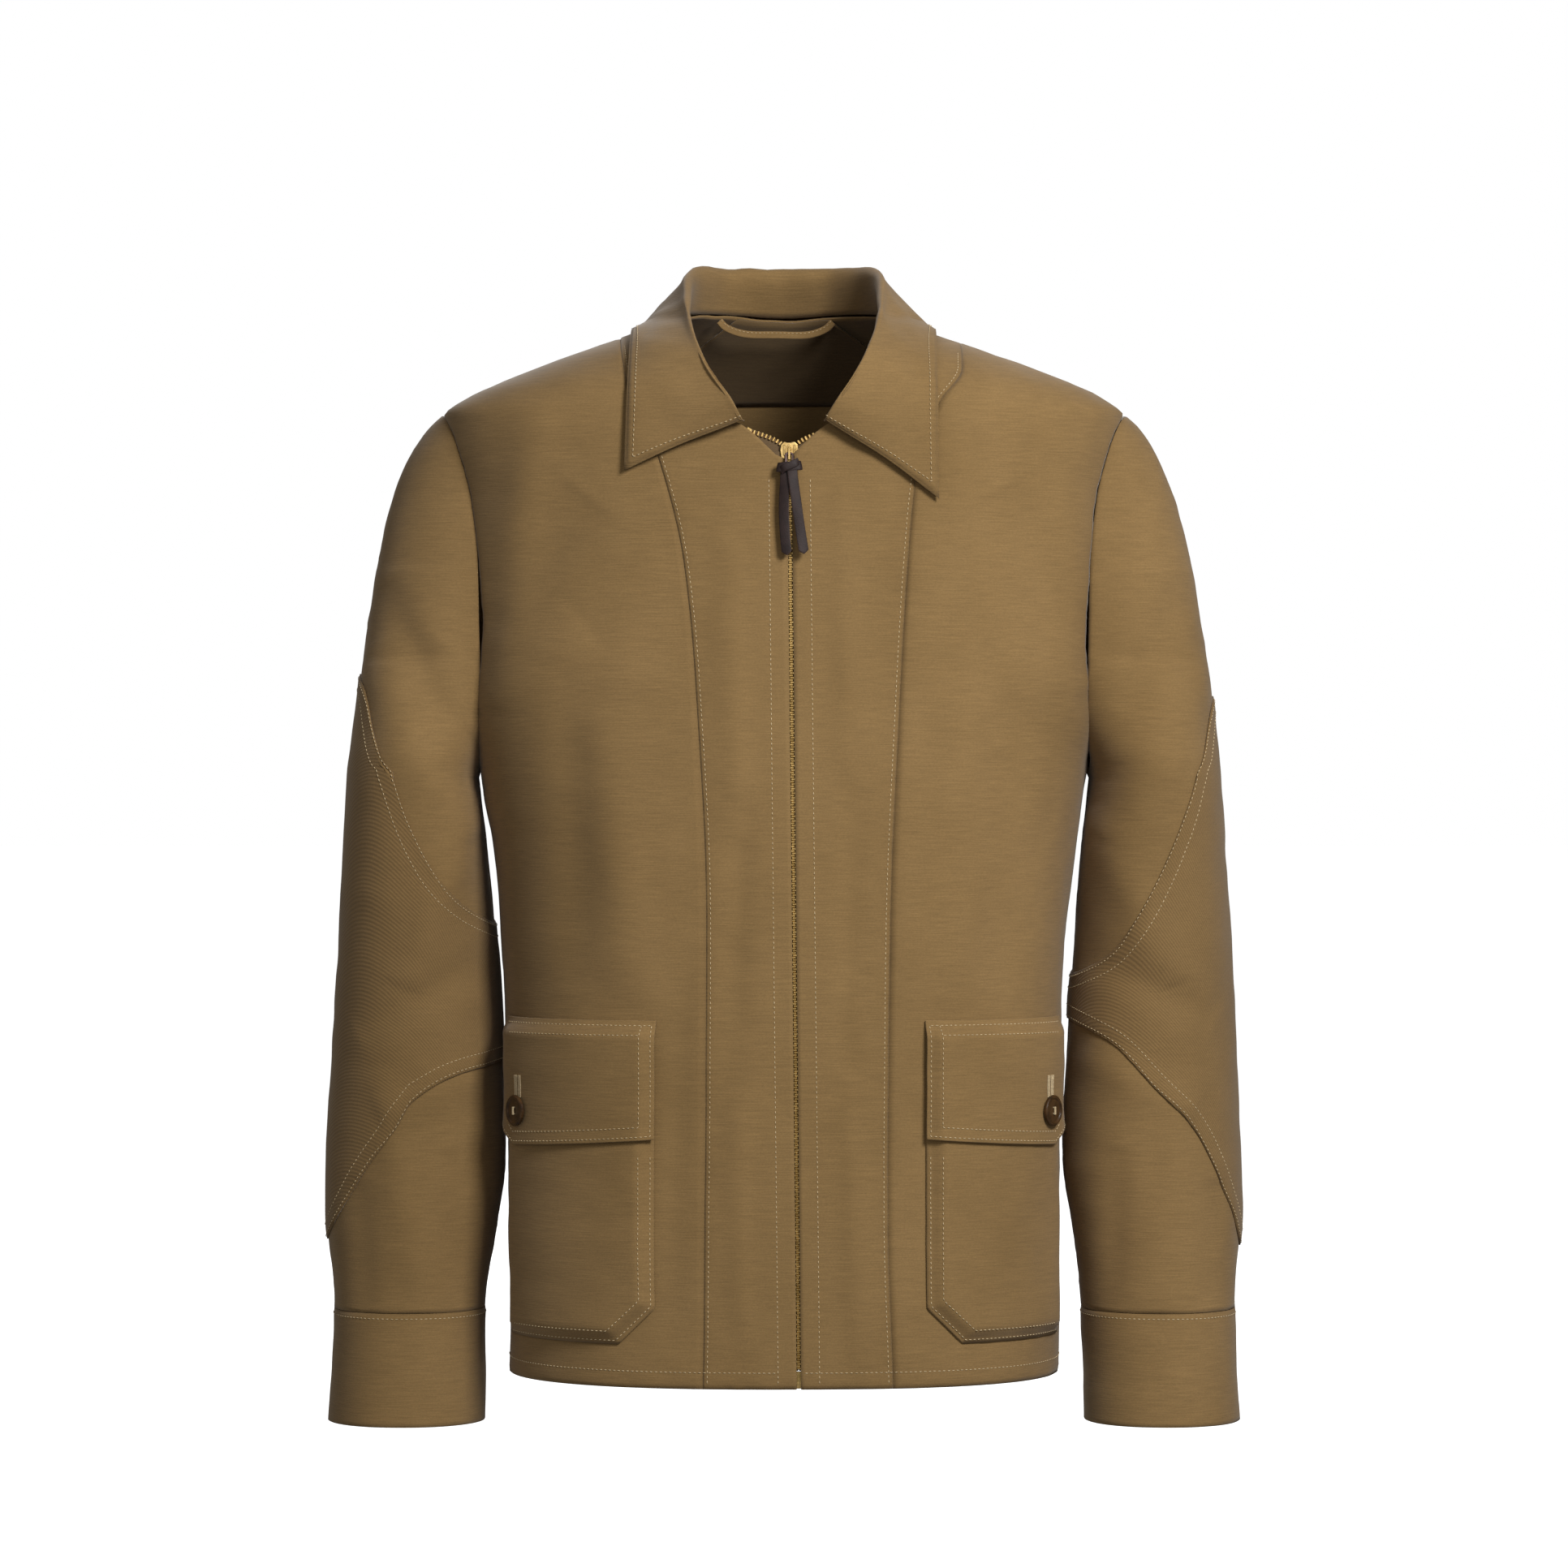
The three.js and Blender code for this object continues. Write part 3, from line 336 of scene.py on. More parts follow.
def folds_at(p):
    x, y, z = np.moveaxis(p, -1, 0)
    front = soft_step(-y, 0, 30)
    back = soft_step(y, 0, 30)
    big = front * fold_height(x, z, FRONT_FOLDS) + back * fold_height(x, z, BACK_FOLDS)
    around = x + 0.7 * y
    small = 0.9 * crumple(around, 0.6 * z, 34) + 0.34 * crumple(around + 900, z, 13)
    near_zip = soft_step(np.abs(x - zip_line(z)), 13, 34) * front + (1 - front)
    calm_top = soft_step(-z, 0, 40)
    return 1.5 * big * near_zip * calm_top + small * (0.3 + 0.7 * near_zip)


print(len(FRONT_FOLDS), "folds in front,", len(BACK_FOLDS), "behind")

# %% [markdown]
# ## Finishes
# The drill is a warm khaki cotton with thick and thin threads, so fine level slubs run across it, and
# large areas are a little faded. The same node set, with other values, gives the patches their diagonal
# rib, the zip tape and the label, and a darker copy of the drill for the inside, which is painted shade.
# Seam edges carry a painted shade value, which darkens the cloth towards each seam.


# %% Cloth finish
def new_material(name, color, rough, metal=0.0):
    material = bpy.data.materials.new(name)
    material.use_nodes = True
    shader = material.node_tree.nodes["Principled BSDF"]
    shader.inputs["Base Color"].default_value = (*color, 1)
    shader.inputs["Roughness"].default_value = rough
    shader.inputs["Specular IOR Level"].default_value = 0.5 if metal else 0.3
    shader.inputs["Metallic"].default_value = metal
    return material, shader, material.node_tree.nodes, material.node_tree.links


def add_noise(tree, scale, stretch, detail, turn=(0, 0, 0)):
    nodes, links = tree
    place = nodes.new("ShaderNodeTexCoord")
    turned = nodes.new("ShaderNodeMapping")
    turned.inputs["Scale"].default_value = stretch
    turned.inputs["Rotation"].default_value = turn
    noise = nodes.new("ShaderNodeTexNoise")
    noise.inputs["Scale"].default_value = scale
    noise.inputs["Detail"].default_value = detail
    links.new(place.outputs["Object"], turned.inputs["Vector"])
    links.new(turned.outputs["Vector"], noise.inputs["Vector"])
    return noise.outputs["Fac"]


def ramp(tree, value, low, high, dark, light):
    nodes, links = tree
    band = nodes.new("ShaderNodeValToRGB")
    band.color_ramp.elements[0].position = low
    band.color_ramp.elements[1].position = high
    band.color_ramp.elements[0].color = (*dark, 1)
    band.color_ramp.elements[1].color = (*light, 1)
    links.new(value, band.inputs["Fac"])
    return band.outputs["Color"]


def times(tree, a, b, share=1.0):
    nodes, links = tree
    mix = nodes.new("ShaderNodeMix")
    mix.data_type = "RGBA"
    mix.blend_type = "MULTIPLY"
    mix.inputs["Factor"].default_value = share
    links.new(a, mix.inputs["A"])
    links.new(b, mix.inputs["B"])
    return mix.outputs["Result"]


def cloth_finish(name, dark, light, slub=0.35, rib=0.0, seam_shade=True):
    material, shader, nodes, links = new_material(name, light, 0.86)
    tree = (nodes, links)
    shader.inputs["Sheen Weight"].default_value = 0.12
    shader.inputs["Sheen Roughness"].default_value = 0.5
    shader.inputs["Specular IOR Level"].default_value = 0.18
    faded = ramp(tree, add_noise(tree, 9, (1, 1, 0.6), 3), 0.32, 0.7, dark, light)
    level = 1 - slub
    thick_thin = add_noise(tree, 1, (70, 70, 1900), 3)
    threads = ramp(tree, thick_thin, 0.3, 0.72, (level,) * 3, (1, 1, 1))
    grain = ramp(tree, add_noise(tree, 900, (1, 1, 1.6), 2), 0.25, 0.75, (0.86,) * 3, (1.06,) * 3)
    color = times(tree, times(tree, faded, threads), grain)
    height = thick_thin
    if rib:
        wave = nodes.new("ShaderNodeTexWave")
        wave.bands_direction = "DIAGONAL"
        wave.inputs["Scale"].default_value = rib
        wave.inputs["Distortion"].default_value = 0.6
        wave.inputs["Detail"].default_value = 1
        place = nodes.new("ShaderNodeTexCoord")
        links.new(place.outputs["Object"], wave.inputs["Vector"])
        color = times(tree, color, ramp(tree, wave.outputs["Fac"], 0.1, 0.8, (0.84,) * 3, (1, 1, 1)))
        height = wave.outputs["Fac"]
    # Painted shade: the cloth is darkened towards each seam, where shade falls in the groove.
    if seam_shade:
        seam_shade_node = nodes.new("ShaderNodeAttribute")
        seam_shade_node.attribute_name = "seam_shade"
        color = times(tree, color, ramp(tree, seam_shade_node.outputs["Fac"], 0.0, 1.0, (1, 1, 1), (0.86, 0.85, 0.83)))
    links.new(color, shader.inputs["Base Color"])
    bump = nodes.new("ShaderNodeBump")
    bump.inputs["Strength"].default_value = 0.3
    bump.inputs["Distance"].default_value = 0.0004
    links.new(height, bump.inputs["Height"])
    links.new(bump.outputs["Normal"], shader.inputs["Normal"])
    return material


DRILL = cloth_finish("drill", (0.222, 0.134, 0.049), (0.280, 0.172, 0.067), slub=0.2)
BIAS_DRILL = cloth_finish("bias_drill", (0.212, 0.127, 0.047), (0.262, 0.160, 0.063), slub=0.1, rib=260)
# A darker copy of the drill, which is painted shade for the pieces inside the jacket.
SHADED_INSIDE = cloth_finish("drill_inside", (0.12, 0.075, 0.032), (0.15, 0.094, 0.042), slub=0.2, seam_shade=False)
TAPE = cloth_finish("zip_tape", (0.13, 0.082, 0.04), (0.17, 0.11, 0.055), slub=0.15, rib=500, seam_shade=False)
THREAD = cloth_finish("thread", (0.56, 0.42, 0.235), (0.68, 0.54, 0.33), slub=0.1, seam_shade=False)
LABEL = cloth_finish("label", (0.008, 0.009, 0.02), (0.016, 0.018, 0.034), slub=0.2, seam_shade=False)
GOLD_THREAD = cloth_finish("label_thread", (0.5, 0.3, 0.04), (0.66, 0.42, 0.08), slub=0.1, seam_shade=False)


# %% Brass, leather and horn
def metal_finish():
    material, shader, nodes, links = new_material("brass", (0.62, 0.42, 0.15), 0.3, 1.0)
    tree = (nodes, links)
    links.new(ramp(tree, add_noise(tree, 300, (1, 1, 1), 3), 0.3, 0.7, (0.42, 0.27, 0.09), (0.72, 0.5, 0.2)),
              shader.inputs["Base Color"])
    links.new(ramp(tree, add_noise(tree, 900, (1, 1, 1), 2), 0.3, 0.7, (0.24,) * 3, (0.42,) * 3),
              shader.inputs["Roughness"])
    return material


def leather_finish(name, dark, light, rough):
    material, shader, nodes, links = new_material(name, light, rough)
    tree = (nodes, links)
    mottle = ramp(tree, add_noise(tree, 160, (1, 1, 1), 4), 0.3, 0.72, dark, light)
    links.new(mottle, shader.inputs["Base Color"])
    grain = nodes.new("ShaderNodeTexVoronoi")
    grain.inputs["Scale"].default_value = 1400
    place = nodes.new("ShaderNodeTexCoord")
    links.new(place.outputs["Object"], grain.inputs["Vector"])
    bump = nodes.new("ShaderNodeBump")
    bump.inputs["Strength"].default_value = 0.35
    bump.inputs["Distance"].default_value = 0.0002
    links.new(grain.outputs["Distance"], bump.inputs["Height"])
    links.new(bump.outputs["Normal"], shader.inputs["Normal"])
    return material


BRASS = metal_finish()
LEATHER = leather_finish("leather", (0.012, 0.0055, 0.0045), (0.024, 0.0115, 0.0095), 0.62)
CUT_LEATHER = leather_finish("leather_cut_edge", (0.10, 0.062, 0.055), (0.17, 0.11, 0.1), 0.8)
HORN = leather_finish("horn", (0.020, 0.009, 0.003), (0.075, 0.036, 0.012), 0.32)
print(len(bpy.data.materials), "finishes")

# %% [markdown]
# ## A cloth panel
# A panel starts as a flat bmesh grid. A function lays each of its points on the jacket, the shared folds
# move it along the surface's own direction, and its sewn edges sink a little, with small puckers. The
# smooth shape, before the folds, is what was cut.


# %% Grid pieces
def grid_mesh(name, columns, rows):
    bm = bmesh.new()
    bmesh.ops.create_grid(bm, x_segments=columns, y_segments=rows, size=0.5)
    mesh = bpy.data.meshes.new(name)
    bm.to_mesh(mesh)
    bm.free()
    flat = np.empty(len(mesh.vertices) * 3)
    mesh.vertices.foreach_get("co", flat)
    plane = flat.reshape(rows + 1, columns + 1, 3)
    return mesh, plane[..., 0] + 0.5, plane[..., 1] + 0.5


def grid_normals(p):
    across, up = np.gradient(p, axis=1), np.gradient(p, axis=0)
    n = np.cross(across, up)
    return n / np.maximum(np.linalg.norm(n, axis=-1, keepdims=True), 1e-9)


def edge_distance(p, sides):
    far = np.full(p.shape[:2], 1e3)
    edges = {"left": p[:, :1], "right": p[:, -1:], "foot": p[:1], "top": p[-1:]}
    for side in sides:
        far = np.minimum(far, np.linalg.norm(p - edges[side], axis=-1))
    return far


def sewn_in(p, sides, depth=0.42, pucker=0.3):
    if not sides:
        return np.zeros(p.shape[:2]), np.zeros(p.shape[:2])
    d = edge_distance(p, sides)
    x, y, z = np.moveaxis(p, -1, 0)
    ripple = crumple(x + 0.7 * y, z, 4.5) * pucker * np.exp(-((d / 7) ** 2))
    # The second value is painted shade, 1 at the seam and fading inwards.
    return ripple - depth * np.exp(-((d / 1.8) ** 2)), np.exp(-d / 3.5)


def finish_mesh(mesh, points, seam_shade, material, smooth=True):
    mesh.vertices.foreach_set("co", (points * MM).ravel())
    values = mesh.attributes.new("seam_shade", "FLOAT", "POINT")
    values.data.foreach_set("value", np.ascontiguousarray(seam_shade, np.float32).ravel())
    bm = bmesh.new()
    bm.from_mesh(mesh)
    bmesh.ops.remove_doubles(bm, verts=bm.verts, dist=2e-5)
    for face in bm.faces:
        face.smooth = smooth
    bm.to_mesh(mesh)
    bm.free()
    mesh.materials.append(material)
    obj = bpy.data.objects.new(mesh.name, mesh)
    bpy.context.collection.objects.link(obj)
    return obj


def thicken(obj, thick, rim=0):
    solidify = obj.modifiers.new("thickness", "SOLIDIFY")
    solidify.thickness = thick * MM
    solidify.offset = -1
    solidify.material_offset_rim = rim


def cloth_piece(name, place, columns, rows, body, material=DRILL, nodes=(), thick=CLOTH, offset=0.0,
                seams=(), normal=None, pucker=0.3, blend=None):
    """place(u, v) gives smooth points in millimetres; offset is a number or a function of those points."""
    mesh, u, v = grid_mesh(name, columns, rows)
    p = place(u, v)
    n = normal(p) if normal else grid_normals(p)
    sunk, seam_shade = sewn_in(p, seams, pucker=pucker)
    rise = offset(p) if callable(offset) else offset
    shown = p + n * (rise + folds_at(p) + sunk)[..., None]
    obj = finish_mesh(mesh, shown, seam_shade, material)
    thicken(obj, thick)
    if blend:
        blend(obj)
    else:
        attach(obj, body)
    if nodes:
        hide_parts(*nodes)
    return obj


# %% [markdown]
# ## Stitches
# The thread is paler than the cloth, so the stitching shows. Each stitch is a small stretched bead of few
# faces that lies along its row, half sunk in the cloth. A row of them follows points of the same surface
# as the panel under it, folds included.


# %% Stitch rows
STITCH_PITCH = 3.0
STITCH_HALF = 1.05
STITCH_RADIUS = 0.27


def even_points(p, pitch):
    lengths = np.concatenate(([0], np.cumsum(np.linalg.norm(np.diff(p, axis=0), axis=1))))
    count = max(int(lengths[-1] / pitch), 2)
    wanted = (np.arange(count) + 0.5) * lengths[-1] / count
    return np.stack([np.interp(wanted, lengths, p[:, k]) for k in range(3)], -1)


def stitches(name, rows, body, pitch=STITCH_PITCH, half=STITCH_HALF, radius=STITCH_RADIUS, blend=None):
    """rows holds pairs of point lists in millimetres: the line, and the outward direction at each point."""
    bm = bmesh.new()
    total = 0
    for line, outward in rows:
        points, facing = even_points(line, pitch), even_points(line + outward, pitch)
        for k, at in enumerate(points):
            ahead, behind = points[min(k + 1, len(points) - 1)], points[max(k - 1, 0)]
            x = Vector(ahead - behind).normalized()
            z = (Vector(facing[k] - at)).normalized()
            y = z.cross(x).normalized()
            z = x.cross(y)
            turn = Matrix((x * half, y * radius, z * radius)).transposed().to_4x4()
            turn.translation = Vector(at + np.array(z) * 0.12)
            bmesh.ops.create_icosphere(bm, subdivisions=1, radius=1, matrix=turn)
            total += 1
    bmesh.ops.scale(bm, vec=(MM, MM, MM), verts=bm.verts)
    for face in bm.faces:
        face.smooth = True
    mesh = bpy.data.meshes.new(name)
    bm.to_mesh(mesh)
    bm.free()
    mesh.materials.append(THREAD)
    obj = bpy.data.objects.new(name, mesh)
    bpy.context.collection.objects.link(obj)
    if blend:
        blend(obj)
    else:
        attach(obj, body)
    print(f"{name}: {total} stitches")
    return obj


def on_body(angle, z, offset=0.0):
    """Points on the folded body with their outward directions."""
    p = body_surface(np.asarray(angle, float), np.asarray(z, float))
    n = body_normal(p)
    return p + n * (offset + folds_at(p))[..., None], n


def on_front(x, z, offset=0.0):
    x, z = np.broadcast_arrays(np.asarray(x, float), np.asarray(z, float))
    return on_body(-body_angle(x, z), z, offset)


# %% [markdown]
# ## Body panels
# Each front has a centre panel beside the zip and a side panel, joined by a princess seam from the
# shoulder to the hem. The back is one panel. The top of a front follows the neckline and then the
# shoulder ridge, the side follows the armhole and then the side seam.

# %% Edges of the body panels
BODY_TOP = -5.0
neckline_x = profile((-5, 66), (-30, 64), (-53, 58), (-69, 45), (-77, 26), (-96, 4.3))


def side_of_body(z):
    """The angle of the armhole, or of the side seam below it."""
    return np.where(z > ARMPIT, body_angle(np.minimum(armhole_x(z), body_width(z)), z), 0.0)


def centre_front_place(side):
    def place(u, v):
        z = HEM + (BODY_TOP - HEM) * v
        zip_edge = side * zip_line(z) + ZIP_SLIT / 2
        neck = np.where(z > -96, np.maximum(neckline_x(z), zip_edge), zip_edge)
        near = body_angle(np.minimum(neck, body_width(z)), z)
        far = body_angle(np.minimum(princess[side](z), body_width(z)), z)
        a, b = (near, far) if side > 0 else (math.pi - far, math.pi - near)
        return body_surface(-(a + (b - a) * u), z)
    return place


def side_front_place(side):
    def place(u, v):
        top = -18.2 if side > 0 else -16.6
        z = HEM + (top - HEM) * v
        near, far = body_angle(princess[side](z), z), side_of_body(z)
        a, b = (near, far) if side > 0 else (math.pi - far, math.pi - near)
        return body_surface(-(a + (b - a) * u), z)
    return place


# %% Front panels
SIDE_NAMES = {1: "left", -1: "right"}
for side, word in SIDE_NAMES.items():
    cloth_piece(
        f"{word}_centre_front_cloth", centre_front_place(side), 30, 210, "jacket", normal=body_normal,
        nodes=[f"{word}_centre_front"], seams=("right" if side > 0 else "left", "foot"),
    )
    cloth_piece(
        f"{word}_side_front_cloth", side_front_place(side), 48, 210, "jacket", normal=body_normal,
        nodes=[f"{word}_side_front"], seams=("left", "right", "foot"),
    )


# %% [markdown]
# The back panel's upper rows lie level up to the shoulder ridge. The last rows close in on the neck seam,
# which is an oval cut through the shoulders.

# %% Back panel
BACK_TOP = -8.0
NECK_ROWS = 0.03


def neck_seam_back(angle):
    x = NECK_HALF * np.cos(angle) * 0.953
    y = NECK_SIDE_Y + (NECK_BACK - NECK_SIDE_Y) * np.sqrt(np.maximum(1 - (x / NECK_HALF) ** 2, 0))
    low, high = np.full(x.shape, -60.0), np.full(x.shape, 4.0)
    for _ in range(24):
        z = (low + high) / 2
        inside = body_reach(np.stack([x, y, z], -1)) < 1
        low, high = np.where(inside, z, low), np.where(inside, high, z)
    return np.stack([x, y, low], -1)


def back_place(u, v):
    t = v / (1 - NECK_ROWS)
    z = HEM + (BACK_TOP - HEM) * np.minimum(t, 1)
    near = side_of_body(z)
    angle = near + (math.pi - 2 * near) * u
    level = body_surface(angle, z)
    rise = np.clip((v - 1 + NECK_ROWS) / NECK_ROWS, 0, 1)[..., None]
    return level * (1 - rise) + neck_seam_back(angle) * rise


cloth_piece(
    "back_cloth", back_place, 150, 210, "jacket", nodes=["back_panel"], normal=body_normal,
    seams=("left", "right", "foot"),
)

# %% [markdown]
# ## Sleeves, cuffs and elbow patches
# A sleeve is a front and a back piece, joined outside and inside the arm. Above the armpit its edge is the
# armhole, so the piece is narrower there. A large patch wraps the elbow, tall outside the arm and short
# at the inner seam.

# %% Sleeve pieces
SLEEVE_TOP = -65.7


def follow_arm():
    return lambda obj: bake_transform(obj)


def mirrored(p, side):
    return p * np.array([side, 1, 1])


def sleeve_place(side, behind):
    def place(u, v):
        z = CUFF_TOP + 0.3 + (SLEEVE_TOP - CUFF_TOP - 0.3) * v
        turn = u if behind else u - 1
        if side < 0:
            turn = 1 - u if behind else -u
        return mirrored(sleeve_surface(turn, z), side)
    return place


for side, word in SIDE_NAMES.items():
    for behind, part in ((False, "front"), (True, "back")):
        cloth_piece(
            f"{word}_sleeve_{part}_cloth", sleeve_place(side, behind), 50, 190, f"{word}_sleeve",
            nodes=[f"{word}_sleeve_{part}"], seams=("left", "right"), blend=follow_arm(),
        )

# %% Cuffs
CUFF_ROWS = 24


def around_arm(side, top, foot):
    def place(u, v):
        turn = 2 * u - 1
        return mirrored(sleeve_surface(-turn if side < 0 else turn, foot + (top - foot) * v), side)
    return place


for side, word in SIDE_NAMES.items():
    cloth_piece(
        f"{word}_cuff_cloth", around_arm(side, CUFF_TOP, CUFF_FOOT), 110, CUFF_ROWS, f"{word}_sleeve",
        nodes=[f"{word}_cuff"], thick=1.5 * CLOTH, offset=0.35, seams=("top",), pucker=0.2,
    )

# %% Elbow patches
PATCH_OFFSET = 1.4
PATCH_EDGES = {
    1: (profile((1, -240), (0.84, -248), (0.44, -303), (0, -352), (-0.5, -395), (-1, -414)),
        profile((1, -584), (0.8, -553), (0.4, -508), (0, -484), (-0.5, -456), (-1, -442))),
    -1: (profile((1, -226), (0.66, -237), (0.28, -280), (0, -318), (-0.5, -362), (-1, -382)),
         profile((1, -580), (0.5, -534), (0.15, -507), (0, -492), (-0.5, -475), (-1, -468))),
}


def patch_place(side):
    upper, lower = PATCH_EDGES[side]

    def place(u, v):
        turn = 2 * u - 1
        share = np.cos(turn * math.pi)
        share = np.sign(share) * np.abs(share) ** (2 / SLEEVE_POWER)
        z = lower(share) + (upper(share) - lower(share)) * v
        return mirrored(sleeve_surface(-turn if side < 0 else turn, z), side)
    return place


def ring_normals(p):
    wide = np.concatenate([p[:, -2:-1], p, p[:, 1:2]], axis=1)
    return grid_normals(wide)[:, 1:-1]


for side, word in SIDE_NAMES.items():
    cloth_piece(
        f"{word}_elbow_patch_cloth", patch_place(side), 150, 90, f"{word}_sleeve", material=BIAS_DRILL,
        nodes=[f"{word}_elbow_patch"], thick=0.9, offset=PATCH_OFFSET, seams=("top", "foot"),
        normal=ring_normals, pucker=0.25,
        blend=follow_arm(),
    )


# %% Stitches of the sleeves
def patch_row(side, inset):
    """Rows a set distance inside both edges of the patch, found along its columns."""
    place = patch_place(side)
    u, v = np.meshgrid(np.linspace(0, 1, 260), np.linspace(0, 1, 121))
    p = place(u, v)
    n = ring_normals(p)
    shown = p + n * (PATCH_OFFSET + folds_at(p))[..., None]
    rows = []
    for edge in (0, -1):
        order = slice(None, None, -1) if edge else slice(None)
        inward = p[order][:61]
        gap = np.min(np.linalg.norm(inward[:, :, None] - p[edge][None, None, ::2], axis=-1), axis=2)
        first = np.maximum(np.argmax(gap > inset, axis=0), 1)
        column = np.arange(p.shape[1])
        before, after = gap[first - 1, column], gap[first, column]
        level = first - 1 + np.clip((inset - before) / np.maximum(after - before, 1e-6), 0, 1)
        window = np.hanning(15) / np.hanning(15).sum()
        level = np.convolve(np.pad(level, 7, mode="edge"), window, mode="valid")
        low = np.floor(level).astype(int)
        share = (level - low)[:, None]
        mixed = [g[order][low, column] * (1 - share) + g[order][low + 1, column] * share for g in (shown, n)]
        rows.append(tuple(mixed))
    return rows


def ring_row(side, z, offset):
    u = np.linspace(0, 1, 160)[None, :].repeat(3, axis=0)
    v = np.array([[0.0], [0.5], [1.0]]) * np.ones((1, 160))
    p = around_arm(side, z + 1, z - 1)(u, v)
    n = ring_normals(p)[1]
    p = p[1]
    return [(p + n * (offset + folds_at(p))[..., None], n)]


for side, word in SIDE_NAMES.items():
    stitches(f"{word}_patch_stitches", patch_row(side, 2.2) + patch_row(side, 9.0), f"{word}_sleeve",
             blend=follow_arm())
    stitches(f"{word}_cuff_stitches", ring_row(side, CUFF_TOP - 3.2, 0.35), f"{word}_sleeve")

# %% [markdown]
# ## Collar
# The collar stands up from the neck seam, rolls over and falls to two pointed leaves. It is cut from two
# plies that are sewn together at the edge. Stations round the neck each carry one smooth curve from the
# seam, over the roll and down to the edge. The fall is lifted clear of the shoulders.

# %% Collar stations
COLLAR_STATIONS = 46
COLLAR_ROWS = 34
COLLAR_PLY = 0.66
COLLAR_HALF_GAP = 0.15
ROLL_RADIUS = 4.4
FALL_CLEARANCE = 3.2
LEAF_TIP = {1: (94, -122), -1: (97, -105)}
ROLL_POINTS = [
    (0, 54, 31.5), (34, 44, 31), (57, 10, 28), (61, -42, 9), (57, -88, -15), (48, -115, -38),
    (34, -124, -60), (V_HALF, -FRONT_TOP - 9, ZIP_TOP + 2),
]
NECK_POINTS = [(66, -6), (64, -30), (58, -53), (45, -69), (26, ZIP_TOP)]


def curve_points(knots, shares):
    """A smooth curve through knots whose speed follows the square root of their distances."""
    k = np.array(knots, float)
    k = np.concatenate([[2 * k[0] - k[1]], k, [2 * k[-1] - k[-2]]])
    place = np.clip(np.asarray(shares, float), 0, 1) * (len(k) - 3)
    i = np.minimum(place.astype(int), len(k) - 4)
    t = (place - i)[:, None]
    x = [k[i + m] for m in range(4)]
    d = [np.sqrt(np.maximum(np.linalg.norm(x[m + 1] - x[m], axis=1), 1e-6))[:, None] for m in range(3)]
    a = ((x[1] - x[0]) / d[0] - (x[2] - x[0]) / (d[0] + d[1]) + (x[2] - x[1]) / d[1]) * d[1]
    b = ((x[2] - x[1]) / d[1] - (x[3] - x[1]) / (d[1] + d[2]) + (x[3] - x[2]) / d[2]) * d[1]
    return x[1] + a * t + (-3 * x[1] + 3 * x[2] - 2 * a - b) * t**2 + (2 * x[1] - 2 * x[2] + a + b) * t**3


def surface_height(x, y):
    low, high = -200.0, 4.0
    for _ in range(30):
        z = (low + high) / 2
        if body_reach(np.array([x, y, z])) < 1:
            low = z
        else:
            high = z
    return low


def lift_clear(p, clearance):
    for _ in range(4):
        slopes = [body_reach(p + step) - body_reach(p - step) for step in 0.5 * np.eye(3)]
        steep = np.stack(slopes, -1)
        size = np.linalg.norm(steep, axis=-1, keepdims=True)
        away = (body_reach(p) - 1)[..., None] / size
        p = p + steep / size * np.maximum(clearance - away, 0)
    return p


def unit(v, length=1.0):
    return v / max(np.linalg.norm(v), 1e-9) * length


neck_front = np.array([(x, float(-front_depth(np.float64(z)) * round_off(x / body_width(z), BODY_POWER)), z)
                       for x, z in NECK_POINTS])


SHOULDER_SHARE = 0.45  # how far along the collar the shoulder lies


def collar_station(share, side):
    behind = share < SHOULDER_SHARE
    turn = share / SHOULDER_SHARE * math.pi / 2
    if behind:
        plan = (NECK_HALF * math.sin(turn), NECK_SIDE_Y + (NECK_BACK - NECK_SIDE_Y) * math.cos(turn))
        seam = np.array([*plan, surface_height(*plan)])
    else:
        seam = curve_points(neck_front, [(share - SHOULDER_SHARE) / (1 - SHOULDER_SHARE)])[0]
    seam = seam + (0, 0, 1.2)
    if not behind:
        seam = seam + np.array((-2, -2.4, 0.5)) * min((share - SHOULDER_SHARE) * 20, 1)
    roll = curve_points(ROLL_POINTS, [share])[0]
    if behind:
        edge = np.array([93 * math.sin(turn), 4 + 82 * math.cos(turn), 0.0])
        edge[2] = surface_height(edge[0], edge[1]) + 4
    else:
        down = (share - SHOULDER_SHARE) / (1 - SHOULDER_SHARE)
        tip_x, tip_z = LEAF_TIP[side]
        x, z = 93 + (tip_x - 93) * down, -11 + (tip_z + 11) * down**1.5
        front = -front_depth(np.float64(z)) * round_off(x / body_width(z), BODY_POWER)
        y = front - 4 + 4 * max(0, 1 - down * 8)
        edge = np.array([x, float(y), z])
    upright = 1 if behind else max(0, 1 - (share - SHOULDER_SHARE) * 4)
    out = unit((edge - seam) * (1, 1, 0), ROLL_RADIUS)
    dropped = roll - (0, 0, ROLL_RADIUS)
    inner = (roll + unit(seam - roll, ROLL_RADIUS)) * (1 - upright) + (dropped - out) * upright
    outer = (roll + unit(edge - roll, ROLL_RADIUS)) * (1 - upright) + (dropped + out) * upright
    middle = (roll + edge) / 2 + 0.7 * out
    line = curve_points([seam, inner, roll, outer, middle, edge], np.linspace(0, 1, COLLAR_ROWS + 1))
    fall = np.linspace(0, 1, COLLAR_ROWS + 1) > 4 / 9 - 0.02
    line[fall] = lift_clear(line[fall], FALL_CLEARANCE)
    return line


def collar_points():
    shares = np.linspace(0, 1, COLLAR_STATIONS + 1)
    right = [mirrored(collar_station(s, -1), -1) for s in shares[:0:-1]]
    left = [collar_station(s, 1) for s in shares]
    return np.array(right + left).transpose(1, 0, 2)


COLLAR = collar_points()
COLLAR_OUT = -grid_normals(COLLAR[::-1])[::-1]
print("collar grid", COLLAR.shape[:2])

